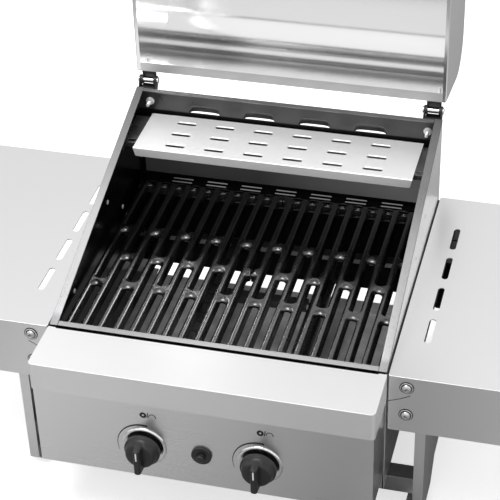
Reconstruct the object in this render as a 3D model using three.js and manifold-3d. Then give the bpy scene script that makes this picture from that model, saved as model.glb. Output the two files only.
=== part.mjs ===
// A countertop gas grill with an open hood, two cast grates and two side shelves.
// Millimetres, +Z up. While it is built, x = 0 is the centre plane, y = 0 the front
// of the firebox rim and z = 0 the top of the shelves; +Y runs to the back.

import * as THREE from 'three';
import { mergeVertices } from 'three/addons/utils/BufferGeometryUtils.js';
import Module from 'manifold-3d';

const wasm = await Module();
wasm.setup();

// Clearances and cutters
const air = 0.3; // between pieces that touch
const overrun = 3; // how far a cutter reaches past what it cuts

// Sheet metal
const bodySheet = 1.5;
const skinSheet = 1.2;

// Firebox
const fireboxWidth = 430;
const fireboxDepth = 388;
const rimFrontHeight = 1.3; // front of the rim above the shelf tops
const rimSlopeAngle = 17.7; // degrees, the rim rises to the back
const fireboxDrop = 190; // side walls below the shelf tops
const backWallDrop = 173;
const frontWallDrop = 160;
const sideRimWidth = 10.5;
const frontRimWidth = 6.5;
const rearRimWidth = 7.5;
const cornerFlangeWidth = 12;
const footFlangeWidth = 14;

// Back wall louvres
const ventCount = 4;
const ventPitch = 78.3;
const ventLength = 44.7;
const ventHeight = 16;
const ventRimDrop = 35.1; // openings' lower edge below the back of the rim
const ventHoodDepth = 7;
const ventMouthRise = 0.5; // hood lip above the opening's lower edge

// Base frame and feet
const baseLift = 50; // firebox side walls above the table
const baseOverhang = 50; // base wider than the firebox, each side
const baseFrontInset = 2.4; // front flange ahead of the firebox front
const baseBackInset = 1.7; // rear flange ahead of the firebox back
const baseFlangeWidth = 13;
const baseFootWidth = 25;
const baseWindowDrop = 50; // side panel's top edge under the shelf's heat slots
const baseWindowInset = 44; // from each end of the side panel
const rearTabTop = 48; // rear tab that closes the gap beside the firebox
const rearTabDrop = 190;
const legWidth = 70;
const legArchRise = 26;
const footRadius = 11;
const footHeight = 8;
const footInset = 27;
const railHeight = 25;
const railWidth = 25;
const frontRailBack = 50;
const rearRailInset = 92; // from the firebox back

// Console in front of the firebox
const consoleOverhang = 0.9; // wider than the firebox, each side
const consoleFront = 78.9;
const consoleLipHeight = 39.4;
const consoleCornerRadius = 6;
const consoleBackGap = 2.9;
const consoleRecess = 1.8; // air slot in front of the rim
const consoleEarWidth = 10;
const panelSetback = 4.9; // control panel face behind the console lip
const panelReturn = 20;

// Gas train
const burnerSpacing = 148;
const burnerDrop = 110; // burner and valve axis below the shelf tops
const burnerRadius = 12.5;
const burnerWall = 1.2;
const burnerBackInset = 70; // from the firebox back
const venturiFront = 16;
const portCount = 12;
const portWidth = 2;
const portDepth = 3.5; // how deep a port saw cut goes into the tube
const portFirst = 60;
const portEnd = 27; // last port from the burner's end
const crossoverWidth = 18;
const crossoverHeight = 10;
const crossoverInset = 74; // from the burners' end
const crossoverRise = 8; // top above the burners' axis
const tailWidth = 12; // flat tail behind each tube, resting on the back wall's ledge
const tailThickness = 3;
const tailGap = 6; // tail's end to the back wall
const restWidth = 16;
const restHeight = 18;
const manifoldRadius = 7;
const manifoldBore = 5.5;
const manifoldPlace = 48;
const manifoldOverhang = 44; // past the valves, each side
const manifoldDropBelowValve = 21;
const valveRadius = 9;
const valveBack = 30;
const valveFlange = 26;
const valveInletWidth = 14;
const nozzleRadius = 4;
const nozzleBack = 8;
const inletElbowLength = 18;
const inletElbowRadius = 8;
const inletBarbRadius = 5;
const inletBarbLength = 24;
const inletNutRadius = 8.5;
const inletNutHeight = 7;

// Knobs and igniter
const stemRadius = 4;
const stemBack = 52;
const knobRadius = 23;
const knobLength = 28;
const knobSkirt = 6;
const knobTaper = 3;
const knobGripWidth = 9;
const knobGripHeight = 12;
const knobHubRadius = 7;
const knobBoreDepth = 16;
const knobTravel = 3;
const knobRunGap = 0.6;
const bezelRadius = 29;
const bezelThickness = 2;
const bezelHole = 11;
const igniterBarrelRadius = 8;
const igniterFlangeRadius = 13;
const igniterFlangeThickness = 3;
const igniterBarrelLength = 34;
const igniterButtonRadius = 5.5;
const igniterButtonProud = 7;
const igniterButtonLength = 22;
const electrodeRadius = 2.5;
const electrodeLength = 46;
const electrodeOffset = 20; // from the right burner, towards the middle
const electrodeTipLength = 9;
const electrodeTipRadius = 0.9;
const electrodeFlange = 12;
const electrodeFlangeThickness = 2;
const electrodeRise = 6;

// Cooking grates
const grateDrop = 14.2; // top of the grates below the shelf tops
const grateThickness = 11;
const gratesBars = 10; // bars on each of the two grates
const grateSideGap = 4.675; // outermost foot to the side wall
const barTopWidth = 7;
const barFootWidth = 12;
const grateFront = 8;
const grateBackInset = 22; // from the firebox back
const grateEnd = 10; // solid ends beyond the slots
const webWidth = 12;
const webShares = { front: 0.315, middle: 0.4885, back: 0.663 }; // of the grate's length
const grateSeam = 0.6; // half the gap between the grates
const grateNoseDrop = 6;
const grateNoseLength = 14;
const railLedge = 20; // front grate rail
const rearRailLedge = 34;
const grateRailLeg = 20;
const baffleSideInset = 6;
const baffleRimDrop = 47; // top below the back of the rim
const baffleDrop = 12;
const railSlotCount = 7;
const railSlotPitch = 51.7;
const railSlotLength = 29;
const railSlotWidth = 7.5;
const railSlotInset = 9;

// Warming rack
const rackSideInset = 23.05; // from the firebox's outer faces
const rackDepth = 93.8;
const rackBackInset = 5.3;
const rackRimDrop = 36.93; // below the back of the rim
const rackLip = 13;
const rackLipTaper = 3;
const rackRearLip = 7;
const rackColumns = 6;
const rackColumnPitch = 54.6;
const rackRows = 3;
const rackRowPitch = 29.3;
const rackFirstRow = 16.6; // from the rack's front edge
const rackSlotLength = 27.5;
const rackSlotWidth = 8;
const bracketFrontInset = 14.1; // from the rack's edges
const bracketBackInset = 8.7;
const bracketLedge = 29;
const bracketLeg = 17;
const bracketTab = 7;
const bracketSlotLength = 12;
const bracketSlotWidth = 6;
const bracketSlotInset = 7;
const bracketSlotReach = 13; // from the wall to the slot's centre

// Side shelves
const shelfReach = 230;
const shelfGap = 2.25; // shelf to firebox
const fasciaProud = 3.9; // front face ahead of the firebox front
const fasciaHeight = 85;
const skirtHeight = 45;
const innerSkirtHeight = 30;
const innerSkirtInset = 14;
const heatSlotCount = 4;
const heatSlotFirst = 91;
const heatSlotPitch = 67.2;
const heatSlotLength = 48.3;
const heatSlotWidth = 8.4;
const heatSlotInset = 34.75;
const shelfTabDrop = 72; // base side's tab behind the fascia
const shelfTabTop = 4;

// Fasteners
const screwShank = 3;
const screwHead = 5.7;
const screwHeadHeight = 3.6;
const screwLength = 14;
const washerRadius = 8.2;
const washerThickness = 1.2;
const fasciaScrewInset = 22.75; // from the shelf's inner edge
const fasciaScrewDrops = [15.6, 57.9];
const boltShank = 2.5;
const boltHead = 4.6;
const boltHeadHeight = 3.4;
const boltProud = 14;
const nutRadius = 4.6;
const nutHeight = 3.6;
const smallWasherRadius = 6;
const smallWasherThickness = 1;

// Hinges
const hingeInset = 14.5; // middle of the hinge from the firebox's outer face
const hingeBehind = 11; // axis behind the firebox back
const hingeAboveRim = 5.87; // axis above the back of the rim
const pinRadius = 2.9;
const pinHeadRadius = 4.6;
const pinHeadThickness = 1.8;
const hingeInnerWidth = 21;
const earThickness = 2;
const earRadius = 6.5;
const mountPlateThickness = 2;
const mountPlateTopDrop = 10; // below the axis
const mountPlateBottomDrop = 39;
const earFootDrop = 29;
const leafThickness = 2;
const leafLugRadius = 6;
const leafLugThickness = 2;
const leafStandoff = 4; // leaf's back plate behind the axis
const leafTail = 7;
const leafTabLength = 27;
const leafTabStart = 2;
const hingeBoltDrop = 26; // below the axis
const hingeBoltShift = 4.5; // towards the centre
const leafBoltPlace = 14;
const leafBoltShift = 4.5; // away from the centre

// Hood
const hoodOverhang = 2; // wider than the firebox, each side
const hoodEdgeLift = 1; // opening edge above the hinge axis, closed
const hoodBackEdge = 13; // from the hinge axis
const hoodFrontOverhang = 0.2; // past the rim's front, closed
const hoodHeight = 151;
const hoodBackLean = 10; // degrees
const hoodBackCorner = 45;
const hoodCrownEnd = 180;
const hoodFrontWall = 31;
const hoodBackFlange = 13.5;
const hoodFrontFlange = 10;
const hoodSideFlange = 5.5;
const hoodCornerSteps = 7;
const hoodFrontSteps = 14;
const hoodOpenAngle = -90; // degrees, turned back from level
const handleAngle = 24; // degrees, place on the hood's front curve
const handleLength = 300;
const handleRadius = 10;
const handleStandoff = 42;
const handlePostSpacing = 236;
const handlePostRadius = 7;
const handlePostFoot = 11;
const handlePostFootHeight = 4;

// Grease tray
const trayFront = 2.4;
const trayBackInset = 40; // from the firebox back
const trayWallGap = 7; // walls below the firebox front
const traySideGap = 0.8;
const trayPlateInset = 10;
const trayPlateGap = 3; // plate below the firebox front
const trayPlateRise = 0.5; // plate above the side walls' lower edges
const trayPullWidth = 110;
const trayPullDepth = 18;
const trayPullDrop = 11;
const trayPullGap = 12; // pull below the firebox front

// Facets
const roundSteps = 4; // on a half round
const tubeSides = 14;
const smallSides = 8;
const discSides = 22;
const hexSides = 6;

// Places that several pieces share
const fireboxHalf = fireboxWidth / 2;
const innerHalf = fireboxHalf - bodySheet; // inner faces of the side walls
const slope = Math.tan(THREE.MathUtils.degToRad(rimSlopeAngle));
const rimSheet = bodySheet / Math.cos(THREE.MathUtils.degToRad(rimSlopeAngle));
const rimAt = (y) => rimFrontHeight + y * slope;
const rimBack = rimAt(fireboxDepth);
const shelfHeight = fireboxDrop + baseLift; // shelf tops above the table
const baseWidth = fireboxWidth + 2 * baseOverhang;
const rearRailBack = fireboxDepth - rearRailInset;
const ventLevel = rimBack - ventRimDrop;
const consoleWidth = fireboxWidth + 2 * consoleOverhang;
const panelDrop = frontWallDrop;
const burnerX = burnerSpacing / 2;
const burnerBack = fireboxDepth - burnerBackInset;
const portPitch = (burnerBack - portEnd - portFirst) / (portCount - 1);
const crossoverPlace = burnerBack - crossoverInset;
const crossoverDrop = burnerDrop - crossoverRise;
const tailBack = fireboxDepth - bodySheet - tailGap;
const manifoldReach = burnerX + manifoldOverhang;
const panelFace = -consoleFront + panelSetback;
const panelBack = panelFace + bodySheet;
const shelfInner = fireboxHalf + shelfGap;
const shelfOuter = shelfInner + shelfReach;
const hingeX = fireboxHalf - hingeInset;
const hingeY = fireboxDepth + hingeBehind;
const hingeRise = rimBack + hingeAboveRim;
const hingeBoltHeight = hingeRise - hingeBoltDrop;
const hoodWidth = fireboxWidth + 2 * hoodOverhang;
const hoodFrontEdge = (hingeY + hoodFrontOverhang) / Math.cos(THREE.MathUtils.degToRad(rimSlopeAngle));
const gratePitch = (innerHalf - grateSideGap - barFootWidth / 2) / (gratesBars - 1 / 2);
const grateBack = fireboxDepth - grateBackInset;
const webAt = (share) => grateFront + (grateBack - grateFront) * share;
const rackWidth = fireboxWidth - 2 * rackSideInset;
const rackBack = fireboxDepth - rackBackInset;
const rackFront = rackBack - rackDepth;
const rackHeight = rimBack - rackRimDrop;
const grateTop = -grateDrop;
const grateBottom = grateTop - grateThickness;
const wallSpan = 2 * (innerHalf - air);

// Finishes
function finish(colour, roughness, metalness) {
  return new THREE.MeshStandardMaterial({ color: colour, roughness, metalness });
}
const brushedSteel = finish(0xd9d9d8, 0.35, 0.9);
const rimSteel = finish(0xa9aaab, 0.4, 0.8);
const blackEnamel = finish(0x17181a, 0.3, 0.2);
const castIron = finish(0x1b1c1e, 0.35, 0.3);
const brightSteel = finish(0xdcdde0, 0.15, 1);
const brass = finish(0xb48a45, 0.3, 1);
const blackPlastic = finish(0x1a1a1b, 0.45, 0);
const rubber = finish(0x151515, 0.9, 0);
const ceramic = finish(0xe9e6df, 0.5, 0);

// Solids from geometries, and back
function solid(geometry) {
  const bare = geometry.clone();
  bare.deleteAttribute('normal');
  bare.deleteAttribute('uv');
  const merged = mergeVertices(bare);
  const corners = merged.index.array;
  const faces = [];
  for (let i = 0; i < corners.length; i += 3) {
    const [a, b, c] = [corners[i], corners[i + 1], corners[i + 2]];
    if (a !== b && b !== c && c !== a) faces.push(a, b, c);
  }
  return new wasm.Manifold(new wasm.Mesh({
    numProp: 3,
    vertProperties: new Float32Array(merged.attributes.position.array),
    triVerts: new Uint32Array(faces),
  }));
}

function geometryOf(body) {
  const mesh = body.getMesh();
  const geometry = new THREE.BufferGeometry();
  geometry.setAttribute('position', new THREE.BufferAttribute(new Float32Array(mesh.vertProperties), 3));
  geometry.setIndex(new THREE.BufferAttribute(new Uint32Array(mesh.triVerts), 1));
  geometry.computeVertexNormals();
  return geometry;
}

const join = (...bodies) => bodies.reduce((all, body) => all.add(body));
const cut = (body, ...cutters) => cutters.reduce((rest, cutter) => rest.subtract(cutter), body);

// Straight solids: each range runs from its first to its second value, either way round
function block(x, y, z) {
  const size = [x, y, z].map(([a, b]) => Math.abs(b - a));
  const middle = [x, y, z].map(([a, b]) => (a + b) / 2);
  const geometry = new THREE.BoxGeometry(...size);
  geometry.translate(...middle);
  return solid(geometry);
}

function prism(outline, from, to, across, up, along) {
  const shape = new THREE.Shape(outline.map(([a, b]) => new THREE.Vector2(a, b)));
  const geometry = new THREE.ExtrudeGeometry(shape, { depth: to - from, bevelEnabled: false });
  geometry.translate(0, 0, from);
  geometry.applyMatrix4(new THREE.Matrix4().makeBasis(across, up, along));
  return solid(geometry);
}

const axisX = new THREE.Vector3(1, 0, 0);
const axisY = new THREE.Vector3(0, 1, 0);
const axisZ = new THREE.Vector3(0, 0, 1);
const towardsFront = new THREE.Vector3(0, -1, 0);

// An outline of (y, z), (x, z) or (x, y) points, run along the third axis
const prismX = (outline, [a, b]) => prism(outline, Math.min(a, b), Math.max(a, b), axisY, axisZ, axisX);
const prismY = (outline, [a, b]) => prism(outline, -Math.max(a, b), -Math.min(a, b), axisX, axisZ,
  towardsFront);
const prismZ = (outline, [a, b]) => prism(outline, Math.min(a, b), Math.max(a, b), axisX, axisY, axisZ);

function rod(from, to, radius, sides = tubeSides) {
  const start = new THREE.Vector3(...from);
  const end = new THREE.Vector3(...to);
  const geometry = new THREE.CylinderGeometry(radius, radius, start.distanceTo(end), sides);
  const direction = end.clone().sub(start).normalize();
  geometry.applyQuaternion(new THREE.Quaternion().setFromUnitVectors(axisY, direction));
  geometry.translate(...start.add(end).divideScalar(2).toArray());
  return solid(geometry);
}

// A profile of (radius, height) points, turned about the axis that starts at base
function turned(profile, base, direction, sides = discSides) {
  const points = profile.map(([r, h]) => new THREE.Vector2(r, h));
  const geometry = new THREE.LatheGeometry(points, sides);
  geometry.applyQuaternion(new THREE.Quaternion().setFromUnitVectors(axisY, direction));
  geometry.translate(...base);
  return solid(geometry);
}

// A slot outline with round ends, long side along the first coordinate unless upright
function slotOutline(length, width, [centreA, centreB], upright = false) {
  const straight = (length - width) / 2;
  const points = [];
  for (let i = 0; i <= 2 * roundSteps + 1; i += 1) {
    const end = i <= roundSteps ? 1 : -1;
    const step = i <= roundSteps ? i : i - 1;
    const angle = Math.PI * (step / roundSteps - 1 / 2);
    points.push([end * straight + (width / 2) * Math.cos(angle), (width / 2) * Math.sin(angle)]);
  }
  return points.map(([u, v]) => (upright ? [centreA + v, centreB + u] : [centreA + u, centreB + v]));
}

// A straight strip under the sloping rim, as an outline of (y, z) points
function rimStrip(front, back) {
  return [[front, rimAt(front)], [back, rimAt(back)], [back, rimAt(back) - rimSheet],
    [front, rimAt(front) - rimSheet]];
}

const grill = new THREE.Group();

function add(name, body, material, parent = grill) {
  const mesh = new THREE.Mesh(geometryOf(body), material);
  mesh.name = name;
  parent.add(mesh);
}

// A pair of pieces, made for side -1 (left) and side 1 (right)
function addPair(name, make, material, parent = grill) {
  add(`${name}_left`, make(-1), material, parent);
  add(`${name}_right`, make(1), material, parent);
}

const outward = (side, a, b) => [side * a, side * b];

// Firebox side wall: rim turned in at the top, foot turned in at the bottom
function fireboxSide(side) {
  const wall = prismX([[0, -fireboxDrop], [fireboxDepth, -fireboxDrop],
    [fireboxDepth, rimAt(fireboxDepth)], [0, rimAt(0)]], outward(side, innerHalf, fireboxHalf));
  const rim = prismX(rimStrip(0, fireboxDepth), outward(side, fireboxHalf - sideRimWidth, fireboxHalf));
  const foot = block(outward(side, fireboxHalf - footFlangeWidth, fireboxHalf), [0, fireboxDepth],
    [-fireboxDrop, -fireboxDrop + bodySheet]);
  return join(wall, rim, foot);
}

// Front or back wall between the side walls: a panel, its rim and two corner flanges
function endWall(outerFace, innerFace, flangeEnd, drop, rimRange) {
  const rimHalf = fireboxHalf - sideRimWidth - air;
  const lowRim = Math.min(rimAt(outerFace), rimAt(innerFace)) - rimSheet - air;
  const panel = block([-wallSpan / 2, wallSpan / 2], [outerFace, innerFace], [-drop, lowRim]);
  const neck = block([-rimHalf, rimHalf], [outerFace, innerFace], [lowRim - overrun, lowRim + rimSheet]);
  const rim = prismX(rimStrip(...rimRange), [-rimHalf, rimHalf]);
  const flanges = [-1, 1].map((side) => block(outward(side, wallSpan / 2 - bodySheet, wallSpan / 2),
    [outerFace, flangeEnd], [-drop, Math.min(lowRim, rimAt(flangeEnd) - rimSheet - air)]));
  return join(panel, neck, rim, ...flanges);
}

function fireboxFront() {
  const wall = endWall(0, bodySheet, cornerFlangeWidth, frontWallDrop, [0, frontRimWidth]);
  const burnerHoles = [-burnerX, burnerX].map((x) => rod([x, -overrun, -burnerDrop],
    [x, bodySheet + overrun, -burnerDrop], burnerRadius + air));
  return cut(wall, ...burnerHoles);
}

// Pressed hood over one louvre: a thin shell that opens downwards behind the wall
function ventHood(x) {
  const top = ventLevel + ventHeight;
  const mouth = ventLevel + ventMouthRise;
  const shell = (inset) => prismX([
    [fireboxDepth - bodySheet, top - inset], [fireboxDepth, top - inset],
    [fireboxDepth + ventHoodDepth - inset, (top + mouth) / 2 - inset],
    [fireboxDepth + ventHoodDepth - inset, mouth - (inset ? overrun : 0)],
    [fireboxDepth - bodySheet, mouth - (inset ? overrun : 0)],
  ], [x - ventLength / 2 + inset, x + ventLength / 2 - inset]);
  return cut(shell(0), shell(skinSheet));
}

function fireboxBack() {
  const inner = fireboxDepth - bodySheet;
  let wall = endWall(fireboxDepth, inner, fireboxDepth - cornerFlangeWidth, backWallDrop,
    [fireboxDepth - rearRimWidth, fireboxDepth]);
  for (let i = 0; i < ventCount; i += 1) {
    const x = (i - (ventCount - 1) / 2) * ventPitch;
    const opening = prismY(slotOutline(ventLength - 2 * skinSheet, ventHeight - 2 * skinSheet,
      [x, ventLevel + ventHeight / 2]), [inner - overrun, fireboxDepth + overrun]);
    wall = cut(wall, opening).add(cut(ventHood(x), opening));
  }
  const boltHoles = [-1, 1].map((side) => {
    const at = (y) => [side * (hingeX - hingeBoltShift), y, hingeBoltHeight];
    return rod(at(inner - overrun), at(fireboxDepth + overrun), boltShank + air, smallSides);
  });
  return cut(wall, ...boltHoles);
}

// Base frame: side panels on two legs, and two rails that carry the firebox. A tab on each
// side panel stands behind the shelf's fascia and takes its screws, and one at the back
// closes the gap beside the firebox. The panel's top edge drops under the heat slots
function baseSide(side) {
  const outer = baseWidth / 2;
  const front = -baseFrontInset;
  const back = fireboxDepth - baseBackInset;
  const top = -skinSheet - air;
  const bottom = -(shelfHeight - footHeight - air);
  const arch = bottom + legArchRise;
  const panel = prismX([[front, bottom], [front + legWidth, bottom], [front + legWidth + legArchRise, arch],
    [back - legWidth - legArchRise, arch], [back - legWidth, bottom], [back, bottom], [back, top],
    [front, top]], outward(side, outer - bodySheet, outer));
  const flangeX = outward(side, outer - baseFlangeWidth, outer);
  const footX = outward(side, outer - baseFootWidth, outer);
  const tab = block(outward(side, shelfInner, outer), [front, front + bodySheet],
    [-shelfTabDrop, -shelfTabTop]);
  const holes = fasciaScrewDrops.map((drop) => fasciaScrewHole(side, front, drop));
  const windowRun = [front + baseWindowInset, back - baseWindowInset];
  const window = block(outward(side, outer - bodySheet - air, outer + overrun), windowRun,
    [-baseWindowDrop, overrun]);
  const rearTab = block(outward(side, shelfInner, outer), [back - bodySheet, back],
    [-rearTabDrop, -rearTabTop]);
  const frame = join(cut(panel, window), tab,
    block(flangeX, [front, front + bodySheet], [bottom, top]),
    block(flangeX, [back - bodySheet, back], [bottom, top]),
    block(flangeX, [front, front + baseWindowInset + bodySheet], [top - bodySheet, top]),
    block(flangeX, [back - baseWindowInset - bodySheet, back], [top - bodySheet, top]),
    block(flangeX, windowRun, [-baseWindowDrop - bodySheet, -baseWindowDrop]),
    rearTab,
    block(footX, [front, front + legWidth], [bottom, bottom + bodySheet]),
    block(footX, [back - legWidth, back], [bottom, bottom + bodySheet]));
  return cut(frame, ...holes);
}

function baseRail(back, webAtBack) {
  const half = baseWidth / 2 - bodySheet - air;
  const top = -fireboxDrop - air;
  const web = webAtBack ? [back - bodySheet, back] : [back - railWidth, back - railWidth + bodySheet];
  return join(block([-half, half], [back - railWidth, back], [top - bodySheet, top]),
    block([-half, half], web, [top - railHeight, top]));
}

function rubberFoot(side, y) {
  return turned([[0, 0], [footRadius - bodySheet, 0], [footRadius, bodySheet], [footRadius, footHeight],
    [0, footHeight]], [side * (baseWidth / 2 - baseFootWidth / 2), y, -shelfHeight], axisZ, tubeSides);
}

// Console cover: ledge, front lip and two end cheeks bent from one sheet
function consoleOutline(inset, back) {
  const half = consoleWidth / 2 - inset;
  const front = -consoleFront + inset;
  const radius = consoleCornerRadius - inset;
  const corner = (side) => Array.from({ length: roundSteps + 1 }, (_, i) => {
    const angle = (Math.PI / 2) * (i / roundSteps);
    return [side * (half - radius + radius * Math.sin(angle)), front + radius - radius * Math.cos(angle)];
  });
  return [...corner(1), [half, back], [-half, back], ...corner(-1).reverse()];
}

function consoleCover() {
  const back = -consoleBackGap;
  const outer = prismZ(consoleOutline(0, back), [-consoleLipHeight, 0]);
  const inner = prismZ(consoleOutline(bodySheet, overrun), [-consoleLipHeight - overrun, -bodySheet]);
  const recessHalf = consoleWidth / 2 - consoleEarWidth;
  const recess = block([-recessHalf, recessHalf], [back - consoleRecess, overrun],
    [-consoleLipHeight - overrun, overrun]);
  return cut(outer, inner, recess);
}

// Control panel: face, end cheeks and a short return along the bottom
function controlPanel() {
  const half = consoleWidth / 2 - bodySheet - air;
  const top = -bodySheet - air;
  const face = block([-half, half], [panelFace, panelBack], [-panelDrop, top]);
  const cheeks = [-1, 1].map((side) => block(outward(side, half - bodySheet, half), [panelFace, -air],
    [-panelDrop, top]));
  const bottom = block([-half, half], [panelFace, panelFace + panelReturn],
    [-panelDrop, -panelDrop + bodySheet]);
  const stemHoles = [-burnerX, burnerX].map((x) => rod([x, panelFace - overrun, -burnerDrop],
    [x, panelBack + overrun, -burnerDrop], stemRadius + 2 * air));
  const igniterHole = rod([0, panelFace - overrun, -burnerDrop], [0, panelBack + overrun, -burnerDrop],
    igniterBarrelRadius + air);
  return cut(join(face, ...cheeks, bottom), ...stemHoles, igniterHole);
}

// Burner tube with saw-cut ports on top and a flat tail welded to its closed end
function burner(side) {
  const at = (y) => [side * burnerX, y, -burnerDrop];
  const tube = rod(at(-venturiFront), at(burnerBack), burnerRadius);
  const bore = rod(at(-venturiFront - overrun), at(burnerBack - burnerWall), burnerRadius - burnerWall);
  const top = -burnerDrop + burnerRadius;
  const ports = Array.from({ length: portCount }, (_, i) => {
    const y = portFirst + i * portPitch;
    return block([side * burnerX - burnerRadius, side * burnerX + burnerRadius], [y, y + portWidth],
      [top - portDepth, top + overrun]);
  });
  const tail = block([side * burnerX - tailWidth / 2, side * burnerX + tailWidth / 2],
    [burnerBack - burnerWall, tailBack], [-burnerDrop - tailThickness / 2, -burnerDrop + tailThickness / 2]);
  return join(cut(tube, bore, ...ports), tail);
}

// Flame carrier between the burners: a channel that opens downwards
function burnerCrossover() {
  const half = burnerX - burnerRadius - air;
  const y = [crossoverPlace - crossoverWidth / 2, crossoverPlace + crossoverWidth / 2];
  const outer = block([-half, half], y, [-crossoverDrop - crossoverHeight, -crossoverDrop]);
  const inner = block([-half - overrun, half + overrun], [y[0] + burnerWall, y[1] - burnerWall],
    [-crossoverDrop - crossoverHeight - overrun, -crossoverDrop - burnerWall]);
  return cut(outer, inner);
}

// Angle bar along the back wall that the burners' tails lie on
function burnerRest() {
  const top = -burnerDrop - tailThickness / 2 - air;
  const wall = fireboxDepth - bodySheet - air;
  const half = wallSpan / 2 - bodySheet - air;
  return join(block([-half, half], [wall - restWidth, wall], [top - bodySheet, top]),
    block([-half, half], [wall - bodySheet, wall], [top - restHeight, top]));
}

// Valve: round body clamped behind the panel, inlet block below, gas nozzle at the back
function valve(side) {
  const x = side * burnerX;
  const front = panelBack + air;
  const body = rod([x, front, -burnerDrop], [x, -valveBack, -burnerDrop], valveRadius);
  const flange = block([x - valveFlange / 2, x + valveFlange / 2], [front, front + 2 * bodySheet],
    [-burnerDrop - valveFlange / 2, -burnerDrop + valveFlange / 2]);
  const manifoldTop = -burnerDrop - manifoldDropBelowValve + manifoldRadius;
  const inlet = block([x - valveInletWidth / 2, x + valveInletWidth / 2],
    [-manifoldPlace - valveInletWidth / 2, -manifoldPlace + valveInletWidth / 2],
    [manifoldTop + air, -burnerDrop]);
  const nozzle = rod([x, -valveBack - overrun, -burnerDrop], [x, -nozzleBack, -burnerDrop], nozzleRadius);
  const bore = rod([x, front - overrun, -burnerDrop], [x, -stemBack + knobTravel + knobRunGap, -burnerDrop],
    stemRadius + air);
  return cut(join(body, flange, inlet, nozzle), bore);
}

function gasManifold() {
  const z = -burnerDrop - manifoldDropBelowValve;
  const tube = rod([-manifoldReach, -manifoldPlace, z], [manifoldReach, -manifoldPlace, z], manifoldRadius);
  const bore = rod([-manifoldReach + 2 * bodySheet, -manifoldPlace, z],
    [manifoldReach + overrun, -manifoldPlace, z], manifoldBore);
  return cut(tube, bore);
}

// Elbow with a hose stub, where the gas line is screwed on
function gasInlet() {
  const z = -burnerDrop - manifoldDropBelowValve;
  const start = manifoldReach + air;
  const x = start + inletElbowLength / 2;
  const elbow = rod([start, -manifoldPlace, z], [start + inletElbowLength, -manifoldPlace, z],
    inletElbowRadius);
  const barb = rod([x, -manifoldPlace, z], [x, -manifoldPlace, z - inletBarbLength], inletBarbRadius);
  const nut = rod([x, -manifoldPlace, z], [x, -manifoldPlace, z - inletElbowRadius - inletNutHeight],
    inletNutRadius, hexSides);
  return join(elbow, barb, nut);
}

// Knob set: bezel on the panel, stem into the valve, knob on the stem
const knobBack = panelFace - bezelThickness - air - knobTravel - knobRunGap;

function knobBezel(side) {
  const base = [side * burnerX, panelFace - air, -burnerDrop];
  return turned([[bezelHole, 0], [bezelRadius, 0], [bezelRadius - bezelThickness, bezelThickness],
    [bezelHole, bezelThickness], [bezelHole, 0]], base, towardsFront);
}

function knobStem(side) {
  return rod([side * burnerX, knobBack - knobBoreDepth + air, -burnerDrop],
    [side * burnerX, -stemBack, -burnerDrop], stemRadius);
}

function knob(side) {
  const base = [side * burnerX, knobBack, -burnerDrop];
  const face = knobLength - knobGripHeight;
  const body = turned([[0, 0], [knobRadius, 0], [knobRadius, knobSkirt],
    [knobRadius - knobTaper, face - knobTaper], [knobRadius - 2 * knobTaper, face], [0, face]],
  base, towardsFront);
  const gripY = [knobBack - face + knobTaper, knobBack - knobLength];
  const reach = knobRadius - knobTaper;
  const grip = block([side * burnerX - knobGripWidth / 2, side * burnerX + knobGripWidth / 2], gripY,
    [-burnerDrop - reach, -burnerDrop + reach]);
  const at = (y) => [side * burnerX, y, -burnerDrop];
  const round = rod(at(knobBack + overrun), at(knobBack - knobLength - overrun), reach, discSides);
  const bore = rod(at(knobBack + overrun), at(knobBack - knobBoreDepth), stemRadius + air);
  return cut(join(body, grip.intersect(round)), bore);
}

// Push igniter in the middle of the panel
function igniterBody() {
  const z = -burnerDrop;
  const flange = rod([0, panelFace - air, z], [0, panelFace - air - igniterFlangeThickness, z],
    igniterFlangeRadius, discSides);
  const barrel = rod([0, panelFace - air, z], [0, panelFace + igniterBarrelLength, z], igniterBarrelRadius);
  const bore = rod([0, panelFace - overrun - igniterFlangeThickness, z],
    [0, panelFace + igniterButtonLength, z], igniterButtonRadius + air);
  return cut(join(flange, barrel), bore);
}

function igniterButton() {
  const front = panelFace - air - igniterFlangeThickness - igniterButtonProud;
  return turned([[0, 0], [igniterButtonRadius, 0], [igniterButtonRadius, igniterButtonLength - bodySheet],
    [igniterButtonRadius - bodySheet, igniterButtonLength], [0, igniterButtonLength]],
  [0, front + igniterButtonLength, -burnerDrop], towardsFront, tubeSides);
}

// Spark electrode: a ceramic rod on a small plate inside the front wall, beside the right burner
function electrode() {
  const wall = bodySheet + air;
  const z = -burnerDrop + electrodeRise;
  const x = burnerX - electrodeOffset;
  const half = electrodeFlange / 2;
  const end = wall + electrodeLength;
  return join(block([x - half, x + half], [wall, wall + electrodeFlangeThickness], [z - half, z + half]),
    rod([x, wall, z], [x, end, z], electrodeRadius, smallSides),
    rod([x, end - overrun, z], [x, end + electrodeTipLength, z], electrodeTipRadius, smallSides));
}

// Ledges inside the front and back walls that carry the grates
function frontGrateRail() {
  const half = wallSpan / 2 - bodySheet - air;
  const wall = bodySheet + air;
  const top = grateBottom - air;
  return join(block([-half, half], [wall, wall + railLedge], [top - bodySheet, top]),
    block([-half, half], [wall, wall + bodySheet], [top - grateRailLeg, top]));
}

function rearGrateRail() {
  const half = wallSpan / 2 - bodySheet - air;
  const wall = fireboxDepth - bodySheet - air;
  const top = grateBottom - air;
  const ledge = join(block([-half, half], [wall - rearRailLedge, wall], [top - bodySheet, top]),
    block([-half, half], [wall - bodySheet, wall], [top - grateRailLeg, top]));
  const slots = Array.from({ length: railSlotCount }, (_, i) => {
    const x = (i - (railSlotCount - 1) / 2) * railSlotPitch;
    return prismZ(slotOutline(railSlotLength, railSlotWidth, [x, wall - railSlotInset]),
      [top - bodySheet - 2 * air, top + overrun]);
  });
  return cut(ledge, ...slots);
}

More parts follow.
